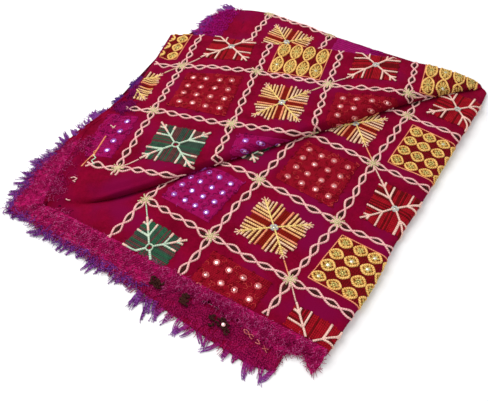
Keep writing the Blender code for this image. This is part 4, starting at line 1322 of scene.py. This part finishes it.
tuftKinds = {  # height at the root and at the tip, yarns, half spread, half thickness, curl
    "edge": (0.0042, 0.0012, 13, 0.0028, 0.00072, 0.35),
    "bump": (0.0175, 0.0118, 84, 0.0066, 0.00095, 0.9),
    "loop": (0.0150, 0.0116, 30, 0.0032, 0.00080, 0.9),
    "back": (0.0110, 0.0070, 30, 0.0052, 0.00080, 0.9),
}


def laidTufts(name, kinds, material):
    paths = []
    for kind in kinds:
        for x0, y0, x1, y1 in np.array(longTufts[kind]) / 10000:
            root, run = np.array((x0, y0)), np.array((x1 - x0, y1 - y0))
            length = float(np.linalg.norm(run))
            way = run / length
            yarnTuft(paths, root - way * 0.004, way, length + 0.005, *tuftKinds[kind], lean=0.0)
    return tubePiece(name, paths, roundSection, material)


tuftYarn = yarn("blueTuftYarn", "#500C4A", "#842478", tips=("#420C4C", "#8E469E", 0.009))
bumpYarn = yarn("plumTuftYarn", "#54083E", "#8A1264", tips=("#260C4C", "#5C2478", 0.024))
edgeTufts = laidTufts("edgeTufts", ("edge", "loop"), tuftYarn)
bumpTufts = laidTufts("bumpTufts", ("bump",), bumpYarn)
backTufts = laidTufts("backTufts", ("back",), tuftYarn)
backFringe = fringePiece("backFringe", ("back_fringe",), backEdge, fringes["back"], fringeYarn)


def raggedLine(count):
    return np.convolve(draw.normal(0, 1, count), (0.2, 0.5, 1.0, 0.5, 0.2), "same") * mattedShape["ragged"]


# the height of a strip as it comes down from the cloth's top
def fallen(top, out, reach, lie):
    fall = smooth(out / reach)
    rough = mattedShape["rough"] * draw.normal(0, 1, out.shape)
    return (top[:, None] + mattedShape["above"]) * (1 - fall) + lie * fall + rough


# each band gives its places in plan, their heights, how far out they lie, and how far along the strip
def frontBand():
    shares = np.linspace(0.004, 0.997, 260)
    matted = np.interp(shares, mattedShape["share"], mattedShape["out"]) + raggedLine(260)
    inside = mattedShape["inside"][0]
    out = -inside + (matted[:, None] + inside) * np.linspace(0, 1, 11)[None]
    lie = mattedShape["lie"][0] + (0.0005 * np.sin(shares * 60) - 0.0012 * ramp(shares, 0.93, 0.04))[:, None]
    z = fallen(frontTop(endLay, -(shares * endWidth)[None])[0], out, mattedShape["fall"][0], lie)
    return frontEnd(shares[:, None], out), z, out, shares * endWidth


def leftBand():
    shares = np.concatenate([np.full(26, 0.0), np.linspace(0.0, 0.62, 150)])
    turn = np.concatenate([np.linspace(0, 1, 27)[:-1], np.ones(150)])
    matted = np.where(turn < 1, np.interp(turn, mattedShape["tipTurn"], mattedShape["tipOut"]),
                      np.interp(shares, mattedShape["leftShare"], mattedShape["leftOut"])) + raggedLine(176)
    inside = mattedShape["inside"][1] * turn[:, None]
    out = -inside + (matted[:, None] + inside) * np.linspace(0, 1, 13)[None]
    across = (shares * endLay["upperWidth"][0, 0])[None]
    spot, way = leftEnd(across)
    start, end = math.atan2(endOut[1], endOut[0]), math.atan2(way[26, 1], way[26, 0])
    fan = start + ((end - start) % (2 * math.pi) - 2 * math.pi) * turn
    way = np.where(turn[:, None] < 1, np.stack([np.cos(fan), np.sin(fan)], axis=1), way)
    z = fallen(upperTop(endLay, across)[0], out, mattedShape["fall"][1], mattedShape["lie"][1])
    away = out - matted[:, None]
    roll, groove = (height * np.exp(-((away + back) / mattedShape["hemWide"]) ** 2)
                    for height, back in mattedShape["hem"])
    z += ramp(shares, *mattedShape["hemFrom"])[:, None] * (roll + groove)
    return spot[:, None] + way[:, None] * out[..., None], z, out, shares * 0.4 + turn * 0.05 + 0.5


print("felting the matted strips")
mattedYarn = yarn("mattedMagentaYarn", "#780232", "#B81664", 0.85, bump=0.8)
strips, stripFaces, stripUv, shift = [], [], [], 0
for plan, z, out, passed in (frontBand(), leftBand()):
    z[:, -1] -= mattedShape["droop"]
    strips.append(np.concatenate([plan, z[..., None]], axis=-1))
    stripFaces.append(gridFaces(strips[-1], 5) + shift)
    stripUv.append(flatUv(out, passed[:, None]))
    shift += out.size
band = clothPiece("mattedFringe", np.concatenate([points.reshape(-1, 3) for points in strips]),
                  np.concatenate(stripFaces), mattedYarn, np.concatenate(stripUv), mattedShape["thick"])
band.data.materials.append(crepe)
slots = np.zeros(len(band.data.polygons), np.int32)
slots[len(stripFaces[0]) + int(len(stripFaces[1]) * 0.56):] = 1  # past the matted part the rolled hem is plain
band.data.polygons.foreach_set("material_index", slots)
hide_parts("front_fringe", "side_fringe")


curlLook = {"lengths": (0.6, 1.3), "foot": 0.0003, "rise": (0.0002, 0.0018), "lowest": 0.0008, "taper": 0.4}


# loose curled fibres that lie on the cloth
def curls(name, beds, length, radius, material, turn=(1.3, 2.6)):
    paths, t = [], np.linspace(0, 1, 6)
    for roots, normals, ways in beds:
        for root, up, way in zip(roots, normals, ways):
            own = length * draw.uniform(*curlLook["lengths"])
            angle = draw.uniform(-1, 1) * turn[0] + draw.uniform(-1, 1) * turn[1] * t
            forward, across = (np.concatenate([[0], np.cumsum(part[:-1])]) * own / 5
                               for part in (np.cos(angle), np.sin(angle)))
            rise = curlLook["foot"] + draw.uniform(*curlLook["rise"]) * np.sin(math.pi * t)
            path = root + forward[:, None] * way + across[:, None] * np.cross(up, way) + rise[:, None] * up
            path[:, 2] = np.maximum(path[:, 2], curlLook["lowest"])
            wide = radius * (1 - curlLook["taper"] * t)
            paths.append((path, np.tile(up, (len(t), 1)), wide, wide))
    return tubePiece(name, paths, roundSection[[0, 1, 2]] + np.array((0, -0.3)), material)


# a bed of fibres on a strip: where each starts, which way is up, and which way it runs
def stripBed(points, count, outWay, rows=(0.0, 1.0), columns=(0.0, 1.0)):
    normals = gridNormals(points, 0)
    normals *= np.where(normals[..., 2:] < 0, -1, 1)
    row = (draw.uniform(*rows, count) * (points.shape[0] - 1)).astype(int)
    column = np.round(draw.uniform(*columns, count) * (points.shape[1] - 1)).astype(int)
    ways = unit(np.append(outWay, -0.15) + draw.normal(0, 0.55, (count, 3)) * (1, 1, 0.2))
    return points[row, column] + draw.normal(0, 0.0006, (count, 3)) * (1, 1, 0), normals[row, column], ways


# the same in a round patch on the laid cloth
def patchBed(wing, centre, radii, count, outWay):
    place, normal, found = onCloth(wing, np.array(centre) + draw.normal(0, 0.5, (count, 2)) * radii)
    ways = unit(np.append(outWay, 0.0) + draw.normal(0, 0.7, (count, 3)) * (1, 1, 0.0))
    return place[found], normal[found], ways[found]


print("scattering the loose fibres")
leftOut = foldShape["bowWay"]
hemPatches = (("upper", (-0.268, 0.062), (0.018, 0.024), 330), ("upper", (-0.241, 0.090), (0.017, 0.016), 260),
              ("upper", (-0.270, 0.020), (0.016, 0.022), 260), ("upper", (-0.252, 0.120), (0.012, 0.020), 120),
              ("front", (-0.262, -0.034), (0.020, 0.012), 150))
bumpPatches = (("upper", (-0.189, 0.173), (0.014, 0.012), 340), ("upper", (-0.177, 0.209), (0.011, 0.014), 260))
fibreLooks = {  # length, half thickness
    "matted": (0.0080, 0.00036), "corner": (0.0090, 0.00050), "bump": (0.0100, 0.00050),
    "violet": (0.0120, 0.00050), "bright": (0.0075, 0.00024), "lower": (0.0130, 0.00048),
}


def patchBeds(patches, share=1):
    return [patchBed(wing, centre, radii, count // share, leftOut) for wing, centre, radii, count in patches]


patches = patchBeds(hemPatches)
frontCurls = curls("mattedCurls", [stripBed(strips[0], 2500, endOut), stripBed(strips[1], 1000, leftOut, (0.0, 0.58))]
                   + patches, *fibreLooks["matted"], mattedYarn)
cornerFuzz = curls("cornerFuzz", [stripBed(rearGrid["points"], 900, leftOut, (0.90, 1.0), (0.02, 0.86))],
                   *fibreLooks["corner"], yarn("cornerSilkFibres", "#76044E", "#B41080", 0.85))
bumpFuzz = curls("bumpFuzz", patchBeds(bumpPatches), *fibreLooks["bump"],
                 yarn("plumSilkFibres", "#58063A", "#8A0E60", 0.85))
violetFibres = curls("violetFibres", [stripBed(strips[1], 300, leftOut, (0.0, 0.6), (0.85, 1.0)),
                                      stripBed(strips[0], 260, endOut, (0.0, 0.45), (0.88, 1.0)),
                                      stripBed(rearGrid["points"], 130, leftOut, (0.98, 1.0), (0.0, 0.7))],
                     *fibreLooks["violet"], yarn("violetSilkFibres", "#420E60", "#8A3EA2"))
patches = patchBeds(hemPatches, 4)
# pale fibres on the matted strips, a lighter copy of the magenta silk: painted highlight
highlightHairs = curls("highlightFibres", [stripBed(strips[0], 900, endOut), stripBed(strips[1], 220, leftOut, (0.0, 0.58))]
                    + patches, *fibreLooks["bright"], yarn("highlightSilkFibres", "#B02470", "#E870B0", bump=0.3))
lowerCurls = curls("lowerFibres", [stripBed(underPoints, 2400, endOut, columns=(0.0, 0.78))], *fibreLooks["lower"],
                   yarn("lowerMattedYarn", "#70043A", "#B81860", 0.85, bump=0.8), (0.5, 1.2))
bpy.context.view_layer.update()

print("setting the stage")
floorMesh = bpy.data.meshes.new("studioFloor")
floorMesh.from_pydata([(-6, -6, 0), (6, -6, 0), (6, 6, 0), (-6, 6, 0)], [], [(0, 1, 2, 3)])
# painted board, matt and almost white, so that the eye sees only the soft shadow
paleFloor, _, paleShader, _ = newMaterial("paleFloor", 0.9, specular=0.1)
paleShader.inputs["Base Color"].default_value = linear("#F6F6F6")
floorMesh.materials.append(paleFloor)
floor = bpy.data.objects.new("studioFloor", floorMesh)
bpy.context.scene.collection.objects.link(floor)

view = {"lens": 43.16, "elevation": math.radians(51.82), "distance": 0.8413}
camera = bpy.data.cameras.new("camera")
camera.lens, camera.sensor_width, camera.sensor_fit = view["lens"], 36.0, "HORIZONTAL"
camera.clip_start, camera.clip_end = 0.01, 50.0
cameraObject = bpy.data.objects.new("camera", camera)
cameraObject.location = (0.0, -view["distance"] * math.cos(view["elevation"]),
                         view["distance"] * math.sin(view["elevation"]))
cameraObject.rotation_euler = (math.pi / 2 - view["elevation"], 0.0, 0.0)
bpy.context.scene.collection.objects.link(cameraObject)
bpy.context.scene.camera = cameraObject


def softLight(name, place, size, power):
    light = bpy.data.lights.new(name, "AREA")
    light.energy, light.shape, light.size = power, "DISK", size
    lamp = bpy.data.objects.new(name, light)
    lamp.location = place
    x, y, z = place
    lamp.rotation_euler = (math.atan2(math.hypot(x, y), z), 0.0, math.atan2(y, x) + math.pi / 2)
    bpy.context.scene.collection.objects.link(lamp)


world = bpy.data.worlds.new("studio")
world.use_nodes = True
world.node_tree.nodes["Background"].inputs["Color"].default_value = (1, 1, 1, 1)
world.node_tree.nodes["Background"].inputs["Strength"].default_value = 0.64
bpy.context.scene.world = world
bpy.context.scene.view_settings.view_transform = "Standard"
for lamp in (("keyLight", (-0.75, 0.60, 1.40), 1.5, 22.5),    # name, place, size in metres, power in watts
             ("fillLight", (0.8, -1.0, 1.5), 1.2, 5)):
    softLight(*lamp)
